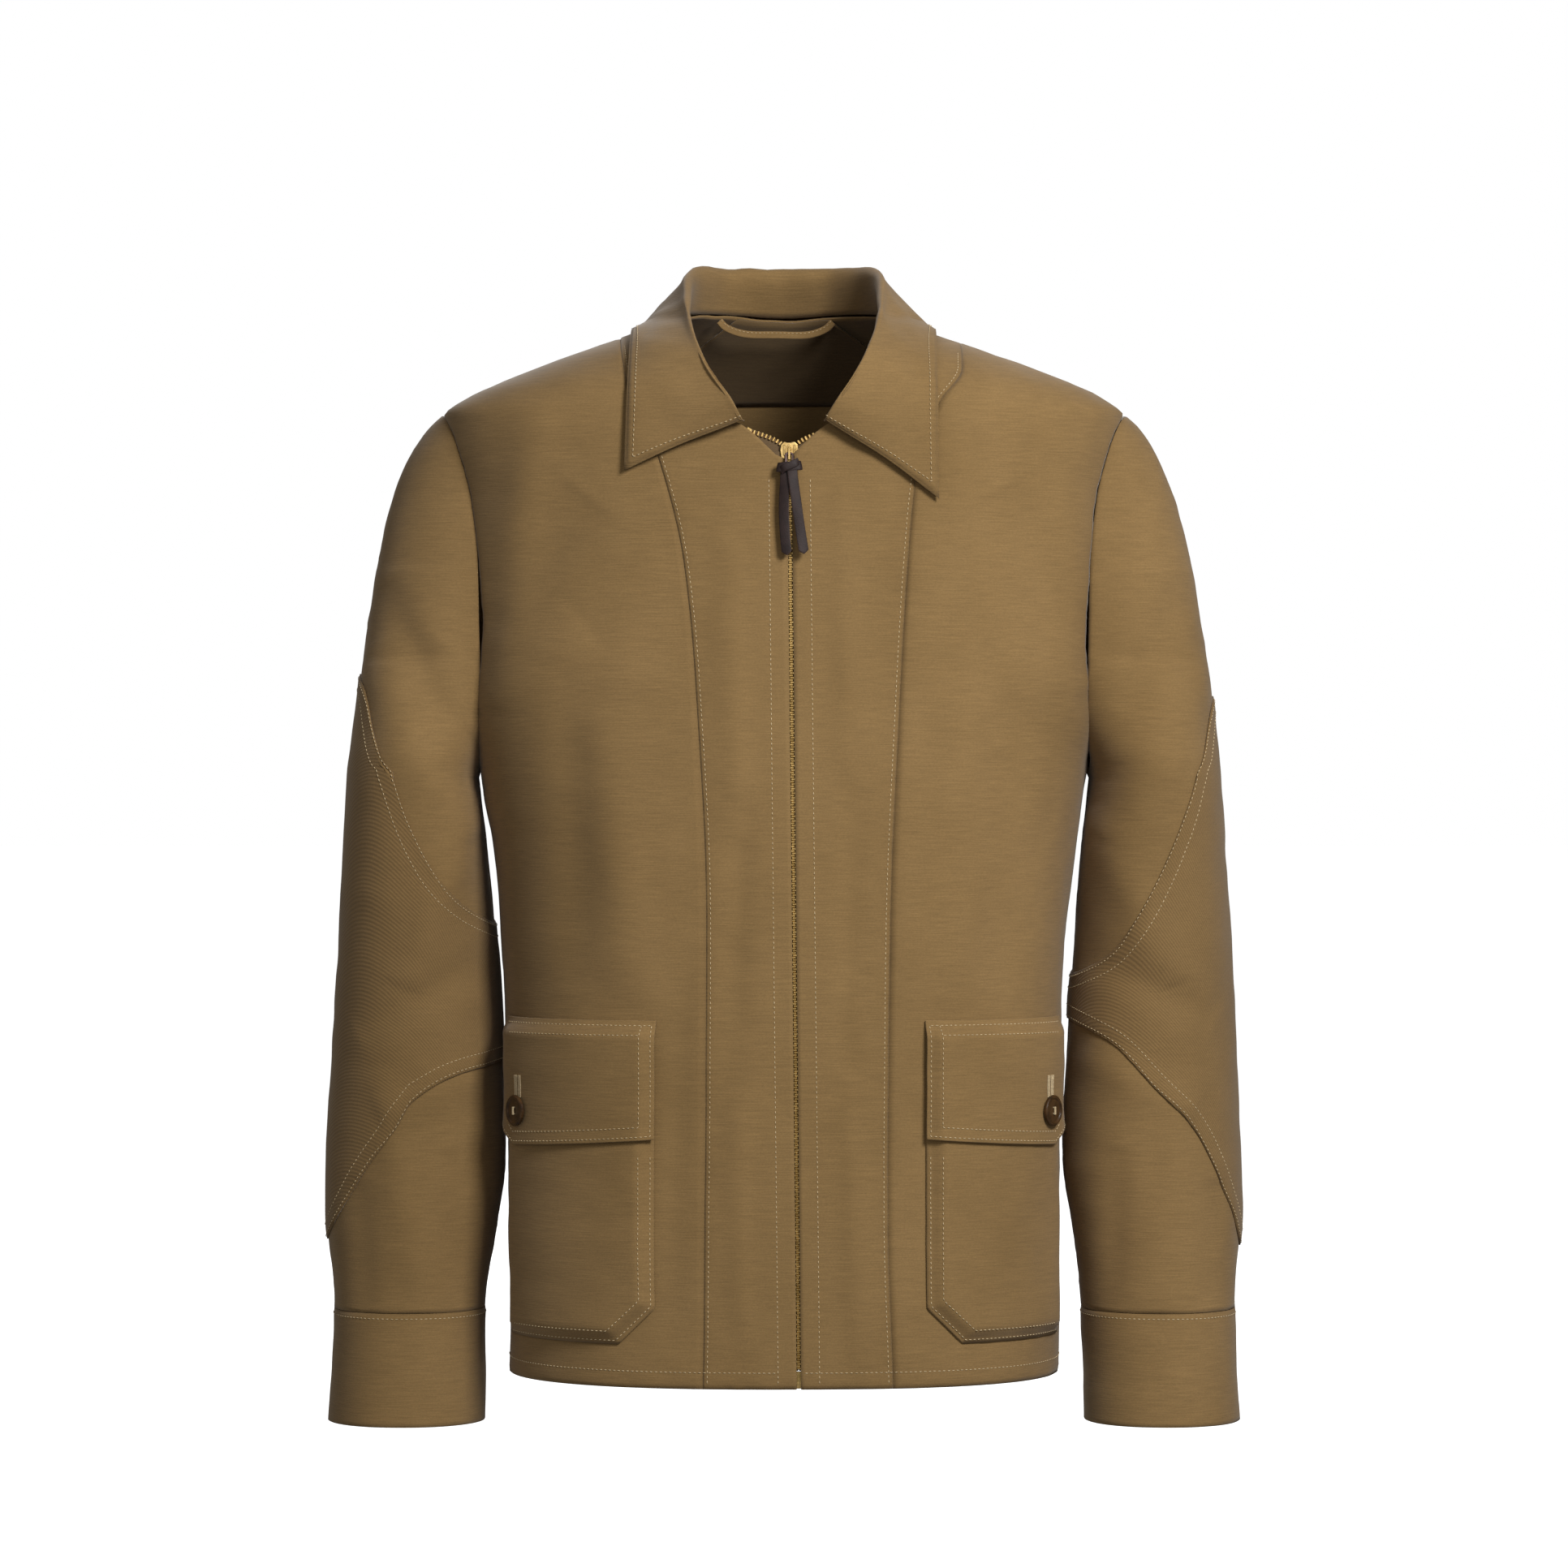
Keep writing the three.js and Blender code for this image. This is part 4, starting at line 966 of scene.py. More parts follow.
# %% [markdown]
# The back of the collar is gathered into the stand in short soft pleats, and both leaves carry a few
# slack folds. The two plies close on each other at the outer edge.


# %% Collar plies
def collar_folds():
    rows = np.linspace(0, 1, COLLAR_ROWS + 1)[:, None]
    x, y, z = np.moveaxis(COLLAR, -1, 0)
    behind = soft_step(y, -30, 20)
    stand = np.exp(-(((rows - 0.22) / 0.2) ** 2))
    pleats = 1.1 * np.sin(x * 0.3) * crumple(x, 30 * rows, 22) * behind * stand
    slack = 1.3 * crumple(x * 1.3 + y, z * 0.8, 19) * soft_step(rows, 0.1, 0.5)
    slack *= soft_step(-rows, -1.0, -0.86)
    return pleats + slack


COLLAR_SHARED = COLLAR_OUT * collar_folds()[..., None]


def collar_piece(name, node, outside):
    turned = slice(None, None, -1) if outside else slice(None)
    mesh, u, v = grid_mesh(name, 2 * COLLAR_STATIONS, COLLAR_ROWS)
    base = COLLAR[:, turned]
    d = edge_distance(base, ("top", "left", "right"))
    half = (COLLAR_HALF_GAP + COLLAR_PLY) * (0.12 + 0.88 * soft_step(d, 0, 3.0))
    ridge = 0.45 * np.exp(-(((d - 3.2) / 2.0) ** 2)) if outside else 0
    shown = base + grid_normals(base) * (half + ridge)[..., None] + COLLAR_SHARED[:, turned]
    # Painted shade: the collar is darkened towards its edges.
    obj = finish_mesh(mesh, shown, 0.6 * np.exp(-d / 4), DRILL)
    thicken(obj, COLLAR_PLY)
    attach(obj, "jacket")
    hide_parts(node)
    return obj


collar_piece("top_collar_cloth", "top_collar", True)
collar_piece("under_collar_cloth", "under_collar", False)


# %% Stitches of the collar
def collar_row(inset):
    """A row along the collar's edge, a little inside it, on the top ply."""
    shown = COLLAR + COLLAR_SHARED + COLLAR_OUT * (COLLAR_HALF_GAP + COLLAR_PLY + 0.3)
    lengths = np.linalg.norm(np.diff(shown, axis=0), axis=-1)[-6:].mean(axis=0)
    rows_in = inset / lengths
    across = np.arange(shown.shape[1])
    line, out = [], []
    side_in = inset / np.linalg.norm(shown[-1, 1] - shown[-1, 0])
    last = COLLAR_ROWS - rows_in
    first_column, last_column = side_in, shown.shape[1] - 1 - side_in
    corner_rows = np.linspace(COLLAR_ROWS * 0.36, last[0], 30)

    def pick(row, column):
        r, c = min(int(row), COLLAR_ROWS - 1), min(int(column), shown.shape[1] - 2)
        fr, fc = row - r, column - c
        for grid, found in ((shown, line), (COLLAR_OUT, out)):
            near = grid[r, c] * (1 - fc) + grid[r, c + 1] * fc
            far = grid[r + 1, c] * (1 - fc) + grid[r + 1, c + 1] * fc
            found.append(near * (1 - fr) + far * fr)

    for row in corner_rows:
        pick(row, first_column)
    for column in across[1:-1]:
        pick(float(np.interp(column, across, last)), float(column))
    for row in corner_rows[::-1]:
        pick(row, last_column)
    return [(np.array(line), np.array(out))]


stitches("collar_stitches", collar_row(6.0), "jacket")

# %% [markdown]
# ## Hem, facings and the inside
# The body's hem is turned up inside, a facing lies behind each front edge and behind the back neck, and
# the zip's tapes are sewn between. These pieces mostly hide, but the neck shows the facing, the label and
# the loop that the jacket hangs by.

# %% Inner pieces
HEM_DEPTH = 12
INNER = -1.4
PLACKET_FROM = 9.6
PLACKET_TO = 34


def hem_place(side):
    def place(u, v):
        z = HEM + HEM_DEPTH * v
        if side:
            edge = 36.0 if side < 0 else 42.0
            near = body_angle(edge, z)
            angle = -(near * (1 - u)) if side > 0 else -(math.pi - near * u)
        else:
            angle = math.pi * u
        return body_surface(angle, z)
    return place


def strip_place(side, near, far, top):
    def place(u, v):
        z = HEM + (top - HEM) * v
        x = side * zip_line(z) + (near + (far - near) * (u if side > 0 else 1 - u))
        return body_surface(-body_angle(side * x, z), z)
    return place


for side, word in ((1, "left"), (-1, "right"), (0, "back")):
    cloth_piece(f"{word}_hem_turning", hem_place(side), 60, 5, "jacket", material=SHADED_INSIDE,
                nodes=["hem_band"], offset=INNER, normal=body_normal)
for side, word in SIDE_NAMES.items():
    facing = strip_place(side, PLACKET_FROM, PLACKET_TO, -98)
    cloth_piece(f"{word}_zip_facing_cloth", facing, 8, 160, "jacket",
                material=SHADED_INSIDE, nodes=[f"{word}_zip_facing"], offset=-3.6, normal=body_normal)


def facing_place(u, v):
    angle = math.radians(62) + math.radians(56) * u
    top = neck_seam_back(angle)
    low = body_surface(angle, np.full(u.shape, -50.0))
    return low + (top - low) * v[..., None]


def neck_patch(x_from, x_to, top, foot):
    def place(u, v):
        z = foot + (top - foot) * v
        x = x_to + (x_from - x_to) * u
        return body_surface(body_angle(x, z), z)
    return place


cloth_piece("back_neck_facing_cloth", facing_place, 40, 16, "jacket", material=SHADED_INSIDE,
            nodes=["back_neck_facing"], offset=INNER, normal=body_normal)
cloth_piece("label_patch_cloth", neck_patch(-31, 16, -5, -17), 24, 8, "jacket", material=SHADED_INSIDE,
            nodes=["label_patch"], offset=-2.9, thick=0.7, normal=body_normal)
cloth_piece("size_label_cloth", neck_patch(-9.6, 8.2, -4.8, -14), 12, 8, "jacket", material=LABEL,
            nodes=["size_label"], offset=-4.0, thick=0.5, normal=body_normal)

# %% [markdown]
# The hanger loop is a narrow folded strip that hangs in a shallow curve between two points of the neck
# seam. It is a box section drawn along that curve.

# %% Hanger loop
LOOP_LEFT, LOOP_RIGHT, LOOP_DROP, LOOP_INSET, LOOP_Z = 31, -41, 8, 2.4, -1.8
LOOP_WIDTH, LOOP_THICK = 4.6, 1.6


def seam_y(x):
    return NECK_SIDE_Y + (NECK_BACK - NECK_SIDE_Y) * math.sqrt(1 - (x / NECK_HALF) ** 2)


def bevelled(obj, width, segments=2):
    bevel = obj.modifiers.new("soft edges", "BEVEL")
    bevel.width = width * MM
    bevel.segments = segments
    bevel.limit_method = "ANGLE"
    bevel.angle_limit = math.radians(35)


def swept_strip(name, path, wide, thick, material, body, widths=None):
    """A flat strip along path; wide and thick are directions with lengths."""
    count = len(path) - 1
    mesh, u, v = grid_mesh(name, 4, count)
    share = np.ones(count + 1) if widths is None else np.asarray(widths)
    line = path[:, None, :] + (u[..., None] - 0.5) * np.asarray(wide)[:, None, :] * share[:, None, None]
    middle = line + np.asarray(thick)[:, None, :] / 2
    obj = finish_mesh(mesh, middle, np.zeros(u.shape), material)
    thicken(obj, float(np.linalg.norm(thick[0])), rim=1 if len(obj.data.materials) > 1 else 0)
    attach(obj, body)
    return obj


start = np.array([LOOP_RIGHT, seam_y(LOOP_RIGHT) - LOOP_INSET, LOOP_Z])
end = np.array([LOOP_LEFT, seam_y(LOOP_LEFT) - LOOP_INSET, LOOP_Z])
span = np.linalg.norm(end - start)
along = (end - start) / span
route = [
    (0, 0), (4, -4), (15, -LOOP_DROP), (span / 2, -LOOP_DROP - 0.6),
    (span - 14, -LOOP_DROP), (span - 4, -4), (span, 0),
]
route = curve_points([(a, 0, b) for a, b in route], np.linspace(0, 1, 50))
loop_path = start + route[:, :1] * along + route[:, 2:] * np.array([0, 0, 1])
tangent = np.gradient(loop_path, axis=0)
tangent /= np.linalg.norm(tangent, axis=1)[:, None]
out_of_plane = np.cross(along, (0, 0, 1))
loop_wide = np.cross(tangent, out_of_plane) * LOOP_WIDTH
loop_out = np.tile(out_of_plane, (50, 1))
hanger = swept_strip("hanger_loop_cloth", loop_path, loop_wide, loop_out * LOOP_THICK, DRILL, "loop")
bevelled(hanger, 0.5)
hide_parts("hanger_loop")
loop_line = loop_path - loop_wide * 0.28 + out_of_plane * LOOP_THICK * 0.5
stitches("loop_stitches", [(loop_line, loop_out)], "loop", pitch=2.6, half=0.8, radius=0.2)

# %% [markdown]
# ## Rows of stitching on the body
# The front edges are stitched 12 mm from the zip, the princess seams beside the seam, and the hem 10 mm up.

# %% Body stitches
PLACKET_STITCH = 12.5
HEM_STITCH = 10


def front_row(x_of_z, top, foot, offset=0.0, count=240):
    z = np.linspace(top, foot, count)
    return on_front(x_of_z(z), z, offset)


def body_row(angles, z, offset=0.0):
    angles = np.asarray(angles, float)
    return on_body(angles, np.full(angles.shape, float(z)), offset)


rows = []
for side in (1, -1):
    rows.append(front_row(lambda z: zip_line(z) + side * PLACKET_STITCH, -110, HEM + 3))
    top = -30 if side > 0 else -26
    rows.append(front_row(lambda z: side * (princess[side](z) - 2.6), top, HEM + 3, -0.1))
hem_gap = float(body_angle(zip_line(HEM) + 3, HEM + HEM_STITCH))
rows.append(body_row(np.linspace(-hem_gap, -0.01, 200), HEM + HEM_STITCH))
rows.append(body_row(np.linspace(-math.pi + 0.01, -hem_gap - 0.05, 200), HEM + HEM_STITCH))
rows.append(body_row(np.linspace(0.01, math.pi - 0.01, 320), HEM + HEM_STITCH))
stitches("body_stitches", rows, "jacket")

# %% [markdown]
# ## Pockets and flaps
# A pocket is a patch that stands off the jacket in the middle and is sewn flat at three edges. The flap
# hangs over its mouth from its own seam, has a shallow point near the outer edge, and is held by a
# button. Both have two rows of stitching.

# %% Pocket shapes
POCKET_OUTER, POCKET_TOP, POCKET_FOOT, POCKET_CHAMFER = 168, -438, -634, 22
POCKET_INNER = {1: 86, -1: 78}
MOUTH = POCKET_TOP - 22
FLAP_DEPTH, FLAP_POINT = 72, 78
POCKET_STAND = 7.7
FLAP_STAND = 9.8
BUTTON_X, BUTTON_Z = 155, -495


def on_side(side, x, z):
    """The folded body's smooth point for a place given on the wearer's left, mirrored for the right."""
    angle = body_angle(x, z)
    return body_surface(-angle if side > 0 else angle - math.pi, z)


def pocket_place(side):
    def place(u, v):
        z = POCKET_FOOT + (MOUTH - POCKET_FOOT) * v
        inner = POCKET_INNER[side] + np.maximum(POCKET_FOOT + POCKET_CHAMFER - z, 0)
        across = u if side > 0 else 1 - u
        return on_side(side, inner + (POCKET_OUTER - inner) * across, z)
    return place


def pocket_rise(side):
    def rise(p):
        x, z = np.abs(p[..., 0]), p[..., 2]
        slant = (x - POCKET_INNER[side] + z - POCKET_FOOT - POCKET_CHAMFER) / math.sqrt(2)
        d = np.minimum.reduce([x - POCKET_INNER[side], (POCKET_OUTER - x) * 1.6, z - POCKET_FOOT, slant])
        return 1.5 + (POCKET_STAND - 1.5) * soft_step(d, 0, 10)
    return rise


def flap_edges(side):
    inner, outer = POCKET_INNER[side] - 1, POCKET_OUTER + 0.6
    foot = profile_x((inner, POCKET_TOP - FLAP_DEPTH), (BUTTON_X + 3, POCKET_TOP - FLAP_POINT),
                     (outer, POCKET_TOP - FLAP_DEPTH + 7))
    return inner, outer, foot


def profile_x(*knots):
    x, v = np.array(knots, float).T
    return lambda at: np.interp(at, x, v)


def flap_place(side):
    inner, outer, foot = flap_edges(side)

    def place(u, v):
        x = inner + (outer - inner) * (u if side > 0 else 1 - u)
        low = foot(x)
        return on_side(side, x, low + (POCKET_TOP - low) * v)
    return place


def flap_rise(side):
    inner, outer, foot = flap_edges(side)

    def rise(p):
        x, z = np.abs(p[..., 0]), p[..., 2]
        side_gap = np.minimum(x - inner, (outer - x) * 1.6)
        base = 5.2 + (FLAP_STAND - 5.2) * soft_step(side_gap, 0, 9)
        head = soft_step(POCKET_TOP - z, 0, 11)
        curl = 0.7 * np.exp(-(((z - foot(x)) / 7) ** 2))
        return 2.0 + (base - 2.0) * head + curl
    return rise


# %% Pockets and flaps
for side, word in SIDE_NAMES.items():
    cloth_piece(f"{word}_pocket_cloth", pocket_place(side), 46, 84, "jacket", nodes=[f"{word}_pocket"],
                offset=pocket_rise(side), normal=body_normal, pucker=0.25, seams=("foot",))
    flap = cloth_piece(f"{word}_flap_cloth", flap_place(side), 56, 48, f"{word}_flap",
                       nodes=[f"{word}_pocket_flap"], offset=flap_rise(side), normal=body_normal,
                       thick=1.6)
    bevelled(flap, 0.5)


# %% Stitches of the pockets and flaps
def outline_row(side, corners, rise):
    points = []
    for (x0, z0), (x1, z1) in zip(corners, corners[1:]):
        t = np.linspace(0, 1, 40)
        points.append(np.stack([x0 + (x1 - x0) * t, z0 + (z1 - z0) * t], -1))
    xz = np.concatenate(points)
    p = on_side(side, xz[:, 0], xz[:, 1])
    n = body_normal(p)
    return p + n * (rise(p) + folds_at(p) + 0.1)[..., None], n


for side, word in SIDE_NAMES.items():
    pocket_rows, flap_rows = [], []
    for inset in (2.2, 8.0):
        inner, outer, foot = POCKET_INNER[side] + inset, POCKET_OUTER - inset, POCKET_FOOT + inset
        cut = POCKET_CHAMFER - inset * 0.4
        corners = [(inner, MOUTH - 60), (inner, foot + cut), (inner + cut, foot), (outer, foot)]
        pocket_rows.append(outline_row(side, corners, pocket_rise(side)))
        a, b, low = flap_edges(side)
        a, b = a + inset, b - inset
        point = (BUTTON_X + 3, float(low(BUTTON_X + 3)) + inset)
        corners = [(a, POCKET_TOP - 3), (a, float(low(a)) + inset), point, (b, float(low(b)) + inset + 1)]
        flap_rows.append(outline_row(side, corners, flap_rise(side)))
        top = POCKET_TOP - 1 - inset
        flap_rows.append(outline_row(side, [(a, top), (b, top)], flap_rise(side)))
    stitches(f"{word}_pocket_stitches", pocket_rows, "jacket")
    stitches(f"{word}_flap_stitches", flap_rows, f"{word}_flap")

# %% [markdown]
# ## Buttons and buttonholes
# The buttons and their thread are rigid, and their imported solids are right, so they stay and get a horn
# and a thread finish. The buttonhole above each button is worked in close stitches round a slit.

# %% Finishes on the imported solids
for word in SIDE_NAMES.values():
    for node, material in ((f"{word}_pocket_button", HORN), (f"{word}_button_thread", THREAD)):
        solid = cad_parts[node]
        solid.data.materials.clear()
        solid.data.materials.append(material)


# %% Buttonholes
def buttonhole(side, word):
    rows = []
    for z in np.arange(BUTTON_Z + 8.5, BUTTON_Z + 22, 0.62):
        for half in (-1, 1):
            x = np.array([BUTTON_X + half * 0.25, BUTTON_X + half * 1.9])
            p = on_side(side, x, np.full(2, z))
            n = body_normal(p)
            rows.append((p + n * (flap_rise(side)(p) + folds_at(p) + 0.25)[..., None], n))
    stitches(f"{word}_buttonhole_stitches", rows, f"{word}_flap", pitch=0.8, half=0.7, radius=0.33)


for side, word in SIDE_NAMES.items():
    buttonhole(side, word)

# %% [markdown]
# ## Zip
# The zip is a brass chain of separate teeth on two cotton tapes. Below the slider the two halves mesh in
# the narrow slit between the front edges. Above it they part along the neck's V, where the teeth show.
# Each tooth is a bevelled block, and the halves are offset by half a pitch.

# %% The zip's own frame
zip_top = np.array([float(zip_line(SLIDER)), -float(front_depth(np.float64(SLIDER))), SLIDER])
zip_foot = np.array([float(zip_line(HEM)), -float(front_depth(np.float64(HEM))), HEM])
ZIP_LENGTH = float(np.linalg.norm(zip_top - zip_foot))
zip_up = (zip_top - zip_foot) / ZIP_LENGTH
zip_across = unit(np.cross((0, 1, 0), zip_up))
zip_in = np.cross(zip_up, zip_across)
zip_axes = np.stack([zip_across, zip_in, zip_up], -1)
ZIP_FRAME = Matrix([[*row, at] for row, at in zip(zip_axes, zip_top)] + [[0, 0, 0, 1]])
TOOTH_PITCH = 2.8
CHAIN_FRONT, CHAIN_BACK = 3.2, 5.8
BOX_HEIGHT = 11.0


def rigid_piece(name, bm, material, body, nodes=(), in_zip=True, smooth=False):
    if in_zip:
        bmesh.ops.transform(bm, matrix=ZIP_FRAME, verts=bm.verts)
    bmesh.ops.scale(bm, vec=(MM, MM, MM), verts=bm.verts)
    bmesh.ops.recalc_face_normals(bm, faces=bm.faces)
    for face in bm.faces:
        face.smooth = smooth
    mesh = bpy.data.meshes.new(name)
    bm.to_mesh(mesh)
    bm.free()
    mesh.materials.append(material)
    obj = bpy.data.objects.new(name, mesh)
    bpy.context.collection.objects.link(obj)
    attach(obj, body)
    if nodes:
        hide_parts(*nodes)
    print(f"{name}: {len(mesh.polygons)} faces")
    return obj


def add_block(bm, centre, size, turn=0.0, bevel=0.0):
    """A block in the zip's frame, turned about the depth axis, its edges bevelled."""
    place = Matrix.Translation(centre) @ Matrix.Rotation(turn, 4, "Y") @ Matrix.Diagonal((*size, 1))
    made = bmesh.ops.create_cube(bm, size=1, matrix=place)["verts"]
    if bevel:
        edges = list({e for v in made for e in v.link_edges})
        bmesh.ops.bevel(bm, geom=edges, offset=bevel, affect="EDGES", segments=1, profile=0.5, material=-1)


# %% Teeth
def chain_path(side):
    """Where each tooth's root lies in the zip's frame, and how far the half leans outwards there."""
    straight = np.arange(BOX_HEIGHT - ZIP_LENGTH + 1.5, 1.5, TOOTH_PITCH)
    teeth = [(0.0, z, 0.0) for z in straight]
    t = np.linspace(0, 1, 60)[:, None]
    a, b, c = np.array([0.0, 1.5]), np.array([1.0, 9.5]), np.array([V_HALF - 4.5, V_DEPTH - 4])
    bend = (1 - t) ** 2 * a + 2 * t * (1 - t) * b + t**2 * c
    p3 = np.concatenate([bend, np.zeros((60, 1))], axis=1)
    even = even_points(p3, TOOTH_PITCH * 0.86)[:, :2]
    for k, (x, z) in enumerate(even):
        nxt = even[min(k + 1, len(even) - 1)] - even[max(k - 1, 0)]
        teeth.append((x, z, math.atan2(nxt[0], nxt[1])))
    return teeth


for side, word in SIDE_NAMES.items():
    bm = bmesh.new()
    shift = 0.0 if side > 0 else TOOTH_PITCH / 2
    for x, z, lean in chain_path(side):
        reach = 2.9
        out = Vector((math.cos(lean), 0, -math.sin(lean)))
        along = Vector((math.sin(lean), 0, math.cos(lean))) * shift
        past = -1.1 if lean == 0 else 0.12  # closed, the halves mesh across the middle
        centre = Vector((x, (CHAIN_FRONT + CHAIN_BACK) / 2, z)) + out * (reach / 2 + past) + along
        centre.x *= side
        add_block(bm, centre, (reach, 2.5, 1.35), side * lean, bevel=0.28)
    rigid_piece(f"{word}_zip_teeth", bm, BRASS, "jacket", nodes=[f"{word}_zip_chain"])


# %% Tapes
def tape_place(side):
    steps = profile_x((0, 0.15), (0.3, 3.4), (0.42, 6.2), (1, 14.0))
    depth = profile_x((0, 4.9), (0.3, 4.9), (0.42, 3.2), (1, 3.2))

    def place(u, v):
        t = u if side > 0 else 1 - u
        z = -ZIP_LENGTH + BOX_HEIGHT + (ZIP_LENGTH - BOX_HEIGHT + 2) * v
        x, y = side * steps(t), depth(t)
        return zip_top + x[..., None] * zip_across + y[..., None] * zip_in + z[..., None] * zip_up
    return place


def vee_place(side):
    """The free end of a tape, which follows the teeth out along the neck's V."""
    def place(u, v):
        t = v[..., None]
        a, b, c = np.array([0.0, 1.5]), np.array([1.0, 9.5]), np.array([V_HALF - 1.5, V_DEPTH - 2])
        spine = (1 - t) ** 2 * a + 2 * t * (1 - t) * b + t**2 * c
        lean = 2 * (1 - t) * (b - a) + 2 * t * (c - b)
        lean /= np.linalg.norm(lean, axis=-1, keepdims=True)
        out = np.stack([lean[..., 1], -lean[..., 0]], -1)
        far = (u if side > 0 else 1 - u)[..., None]
        flat = spine + out * (1.0 + 9.5 * far)
        depth = 5.0 - 1.0 * far[..., 0]
        p = zip_top + side * flat[..., :1] * zip_across
        return p + depth[..., None] * zip_in + flat[..., 1:] * zip_up
    return place


for side, word in SIDE_NAMES.items():
    cloth_piece(f"{word}_zip_tape_cloth", tape_place(side), 10, 150, "jacket", material=TAPE,
                nodes=[f"{word}_zip_tape"], thick=0.7)
    cloth_piece(f"{word}_zip_tape_end", vee_place(side), 8, 16, "jacket", material=TAPE,
                thick=0.7)


# %% [markdown]
# The slider is a golden casting: two plates joined by a web, rounded shoulders, turned-in sides, and a tall
# ridge in front that carries the pull. The leather pull is one thong through the ridge, tied in a knot
# with two flat tails.

# %% Slider
def add_outline(bm, outline, y_from, y_to, bevel=0.25):
    before = set(bm.verts)
    made = [bm.verts.new((x, y_from, z)) for x, z in outline]
    face = bm.faces.new(made)
    raised = bmesh.ops.extrude_face_region(bm, geom=[face])["geom"]
    top = [g for g in raised if isinstance(g, bmesh.types.BMVert)]
    bmesh.ops.translate(bm, vec=(0, y_to - y_from, 0), verts=top)
    if bevel:
        fresh = [v for v in bm.verts if v not in before]
        edges = list({e for v in fresh for e in v.link_edges})
        bmesh.ops.bevel(bm, geom=edges, offset=bevel, affect="EDGES", segments=2, profile=0.5, material=-1)


SLIDER_FRONT = 2.1
plan = [
    (-4.4, -7.5), (4.4, -7.5), (5.0, -1.0), (5.5, 2.5), (5.0, 5.6), (3.2, 7.5),
    (0.9, 6.9), (-0.9, 6.9), (-3.2, 7.5), (-5.0, 5.6), (-5.5, 2.5), (-5.0, -1.0),
]
ridge = [(-0.95, -5.4), (0.95, -5.4), (1.05, 0), (0.85, 5.8), (-0.85, 5.8), (-1.05, 0)]
bm = bmesh.new()
add_outline(bm, plan, SLIDER_FRONT, SLIDER_FRONT + 0.9)
add_outline(bm, plan, 6.2, 7.0)
add_block(bm, (0, 4.5, 4.0), (0.5, 4.4, 6.0))
for side in (1, -1):
    add_block(bm, (side * 4.15, 2.9, -3.6), (0.6, 1.5, 7.0), bevel=0.15)
    add_block(bm, (side * 3.1, 1.75, 2.4), (1.2, 0.9, 6.4), bevel=0.3)
add_outline(bm, ridge, -0.1, SLIDER_FRONT + 0.3, bevel=0.3)
for z in (-4.1, 4.1):
    add_block(bm, (0, -1.2, z * 0.82), (1.6, 3.4, 1.3), bevel=0.3)
add_block(bm, (0, -2.85, 0), (1.6, 0.9, 8.0), bevel=0.3)
rigid_piece("zip_slider_brass", bm, BRASS, "slider", nodes=["zip_slider"])

# %% Stops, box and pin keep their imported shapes
for node in ("left_zip_top_stop", "right_zip_top_stop", "zip_box", "zip_pin"):
    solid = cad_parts[node]
    solid.data.materials.clear()
    solid.data.materials.append(BRASS)

# %% Leather pull
PULL_AXIS_Y = -1.25
KNOT_FOOT = -11.4
TAIL_FOOT, TAIL_WIDTH, LEATHER_THICK = -62.0, 6.2, 1.8


def zip_points(local):
    local = np.asarray(local, float)
    return zip_top + local[..., :1] * zip_across + local[..., 1:2] * zip_in + local[..., 2:] * zip_up


def thong(name, route, facing, width, thick=LEATHER_THICK, point=0.0, count=40):
    """A flat thong along a route of points in the zip's frame. facing is the direction of its broad side."""
    line = curve_points(route, np.linspace(0, 1, count))
    tangent = np.gradient(line, axis=0)
    tangent /= np.linalg.norm(tangent, axis=1)[:, None]
    facing = np.array([unit(np.array(f, float)) for f in facing])
    steps, given = np.linspace(0, len(facing) - 1, count), np.arange(len(facing))
    facing = np.stack([np.interp(steps, given, facing[:, k]) for k in range(3)], -1)
    facing -= tangent * (facing * tangent).sum(axis=1, keepdims=True)
    facing /= np.linalg.norm(facing, axis=1)[:, None]
    wide = np.cross(tangent, facing)
    mesh, u, v = grid_mesh(name, 8, count - 1)
    t = u[..., None] - 0.5
    cup = 0.35 * (2 * t) ** 2
    tip = np.clip((v - 1 + point / 40) / (point / 40), 0, 1)[..., None] if point else 0
    pull_back = tip * np.abs(2 * t) * point * 0.45
    flat = line[:, None] + wide[:, None] * t * width
    p = flat + facing[:, None] * (thick / 2 - cup * 0.8) - tangent[:, None] * pull_back
    if np.dot(np.cross(wide[0], tangent[0]), facing[0]) < 0:
        p = p[:, ::-1]
    obj = finish_mesh(mesh, zip_points(p), np.zeros(u.shape), LEATHER)
    obj.data.materials.append(CUT_LEATHER)
    thicken(obj, thick, rim=1)
    bevelled(obj, 0.25)
    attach(obj, "pull")
    return obj


FRONT = (0, -1, 0)
left_tail = [
    (-2.2, -5.6, KNOT_FOOT + 3), (-2.7, -6.2, -16), (-3.6, -5.9, -32),
    (-3.2, -5.4, -48), (-2.0, -5.9, TAIL_FOOT),
]
right_tail = [
    (1.4, -7.3, KNOT_FOOT + 3), (2.2, -8.1, -16), (4.2, -8.0, -32),
    (6.2, -7.6, -47), (8.4, -7.9, TAIL_FOOT + 0.5),
]
left_face = [FRONT, (-0.3, -1, 0), (-0.12, -1, 0.05), (-0.2, -1, 0)]
right_face = [FRONT, (0.3, -1, 0), (0.1, -1, 0.05), (0.3, -1, 0)]
thong("pull_tail_left", left_tail, left_face, TAIL_WIDTH, point=5)
thong("pull_tail_right", right_tail, right_face, TAIL_WIDTH, point=5)
strap_route = [
    (2.3, -3.6, -7), (2.3, -1.6, -4), (2.2, PULL_AXIS_Y + 0.4, -0.6), (0, PULL_AXIS_Y, 0.5),
    (-2.2, PULL_AXIS_Y + 0.4, -0.6), (-2.3, -1.6, -4), (-2.3, -3.6, -7),
]
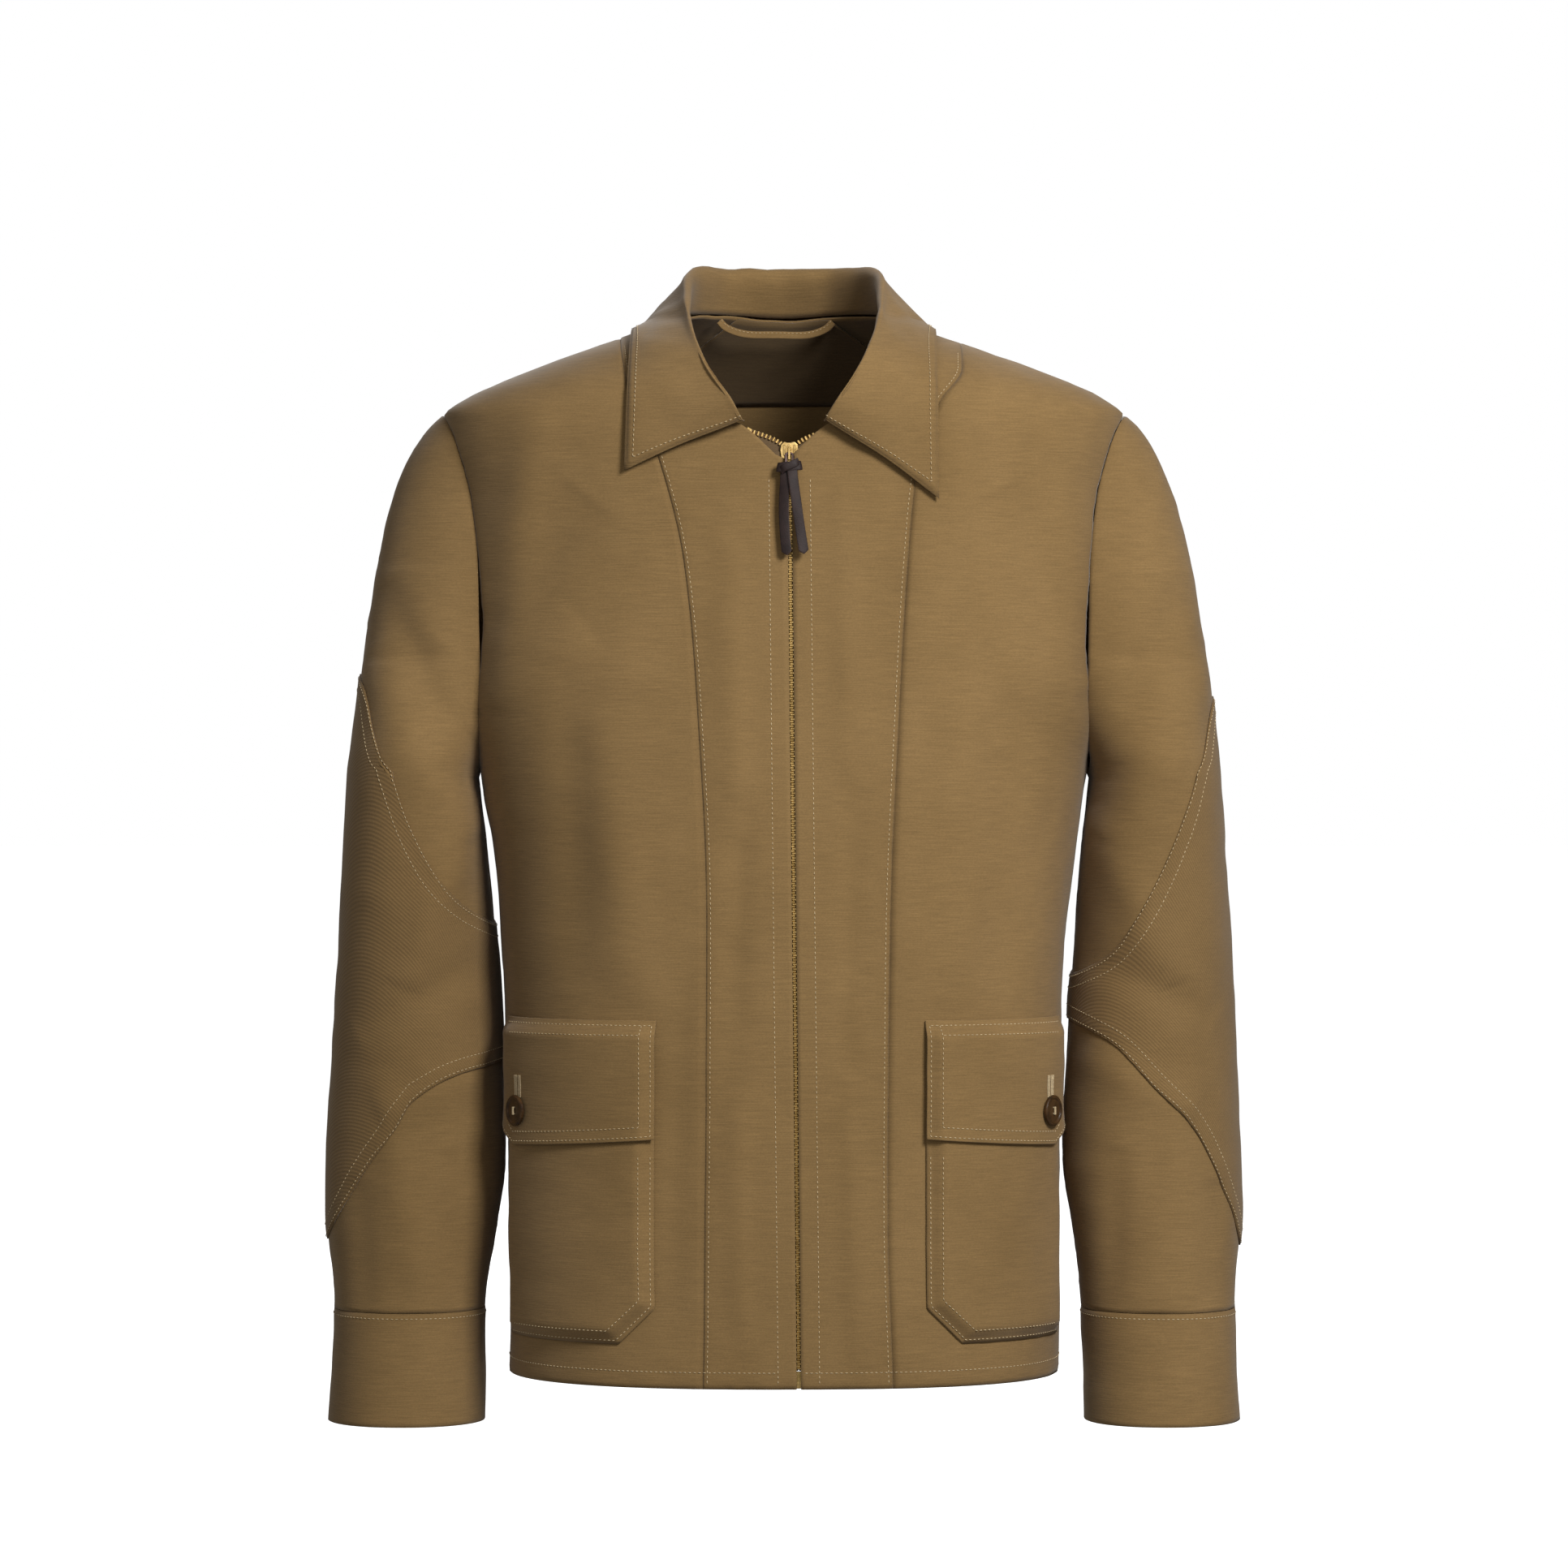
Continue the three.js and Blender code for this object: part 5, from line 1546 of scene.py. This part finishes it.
strap_face = [(1, 0, 0), (1, 0, 0.1), (0.6, 0, 1), (0, 0, 1), (-0.6, 0, 1), (-1, 0, 0.1), (-1, 0, 0)]
thong("pull_strap", strap_route, strap_face, 3.4, thick=1.1)
loop_turns = np.linspace(0, 2 * math.pi, 13)
wrap_route = [
    (7.0 * math.cos(a), -5.9 + 2.0 * math.sin(a), -8.2 + 0.9 * math.cos(a) * 0.6) for a in loop_turns
]
wrap_face = [(math.cos(a) * 0.5, math.sin(a), 0.1) for a in loop_turns]
knot_wrap = thong("pull_knot_wrap", wrap_route, wrap_face, 5.6, thick=1.6, count=70)
cross_route = [(-5.4, -7.2, -10.8), (-3.4, -8.9, -9.4), (0, -9.2, -8.0), (3.6, -8.7, -6.4), (5.6, -7.0, -5.2)]
cross_face = [(-0.7, -1, 0), FRONT, FRONT, FRONT, (0.7, -1, 0)]
thong("pull_knot_cross", cross_route, cross_face, 4.6, thick=1.3, count=30)
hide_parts("leather_pull")
print("pull length", round(-TAIL_FOOT, 1), "mm")

# %% [markdown]
# ## The woven size label
# A small dark label carries a plain woven motif in gold thread, two short bars and a ring, and no words.

# %% Label motif
def motif_row(x_from, x_to, z_from, z_to, count=16):
    x, z = np.linspace(x_from, x_to, count), np.linspace(z_from, z_to, count)
    p = body_surface(body_angle(x, z), z)
    n = body_normal(p)
    return p + n * (-4.0 + folds_at(p) - 0.62)[..., None], -n


rows = [motif_row(x, x, -8.2, -5.6) for x in (-4.4, -2.2, 1.4, 3.4)]
rows += [motif_row(1.4, 3.4, z, z) for z in (-5.6, -8.2)]
stitches("label_motif", rows, "jacket", pitch=1.1, half=0.5, radius=0.28)
bpy.data.objects["label_motif"].data.materials[0] = GOLD_THREAD

# %% [markdown]
# ## Floor, and the end
# The floor is plain and pale, below the cuffs. It isn't part of the jacket. The two boxes printed here
# give the size of the imported jacket and of the finished one.

# %% Floor
bm = bmesh.new()
bmesh.ops.create_grid(bm, x_segments=1, y_segments=1, size=40)
bmesh.ops.translate(bm, vec=(0, 0, -0.80), verts=bm.verts)
mesh = bpy.data.meshes.new("floor")
bm.to_mesh(mesh)
bm.free()
floor_finish, shader, _, _ = new_material("floor_paint", (0.9, 0.9, 0.9), 0.9)
shader.inputs["Emission Color"].default_value = (1, 1, 1, 1)
shader.inputs["Emission Strength"].default_value = 0.8
mesh.materials.append(floor_finish)
floor = bpy.data.objects.new("floor", mesh)
bpy.context.collection.objects.link(floor)
floor.visible_diffuse = False
floor.visible_glossy = False
floor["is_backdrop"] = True

# %% Sizes and finish
size = {
    "cad": [list(map(float, corner)) for corner in cad_box],
    "visual": [list(map(float, corner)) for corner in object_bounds()],
}
print("cad box", size["cad"], "visual box", size["visual"])
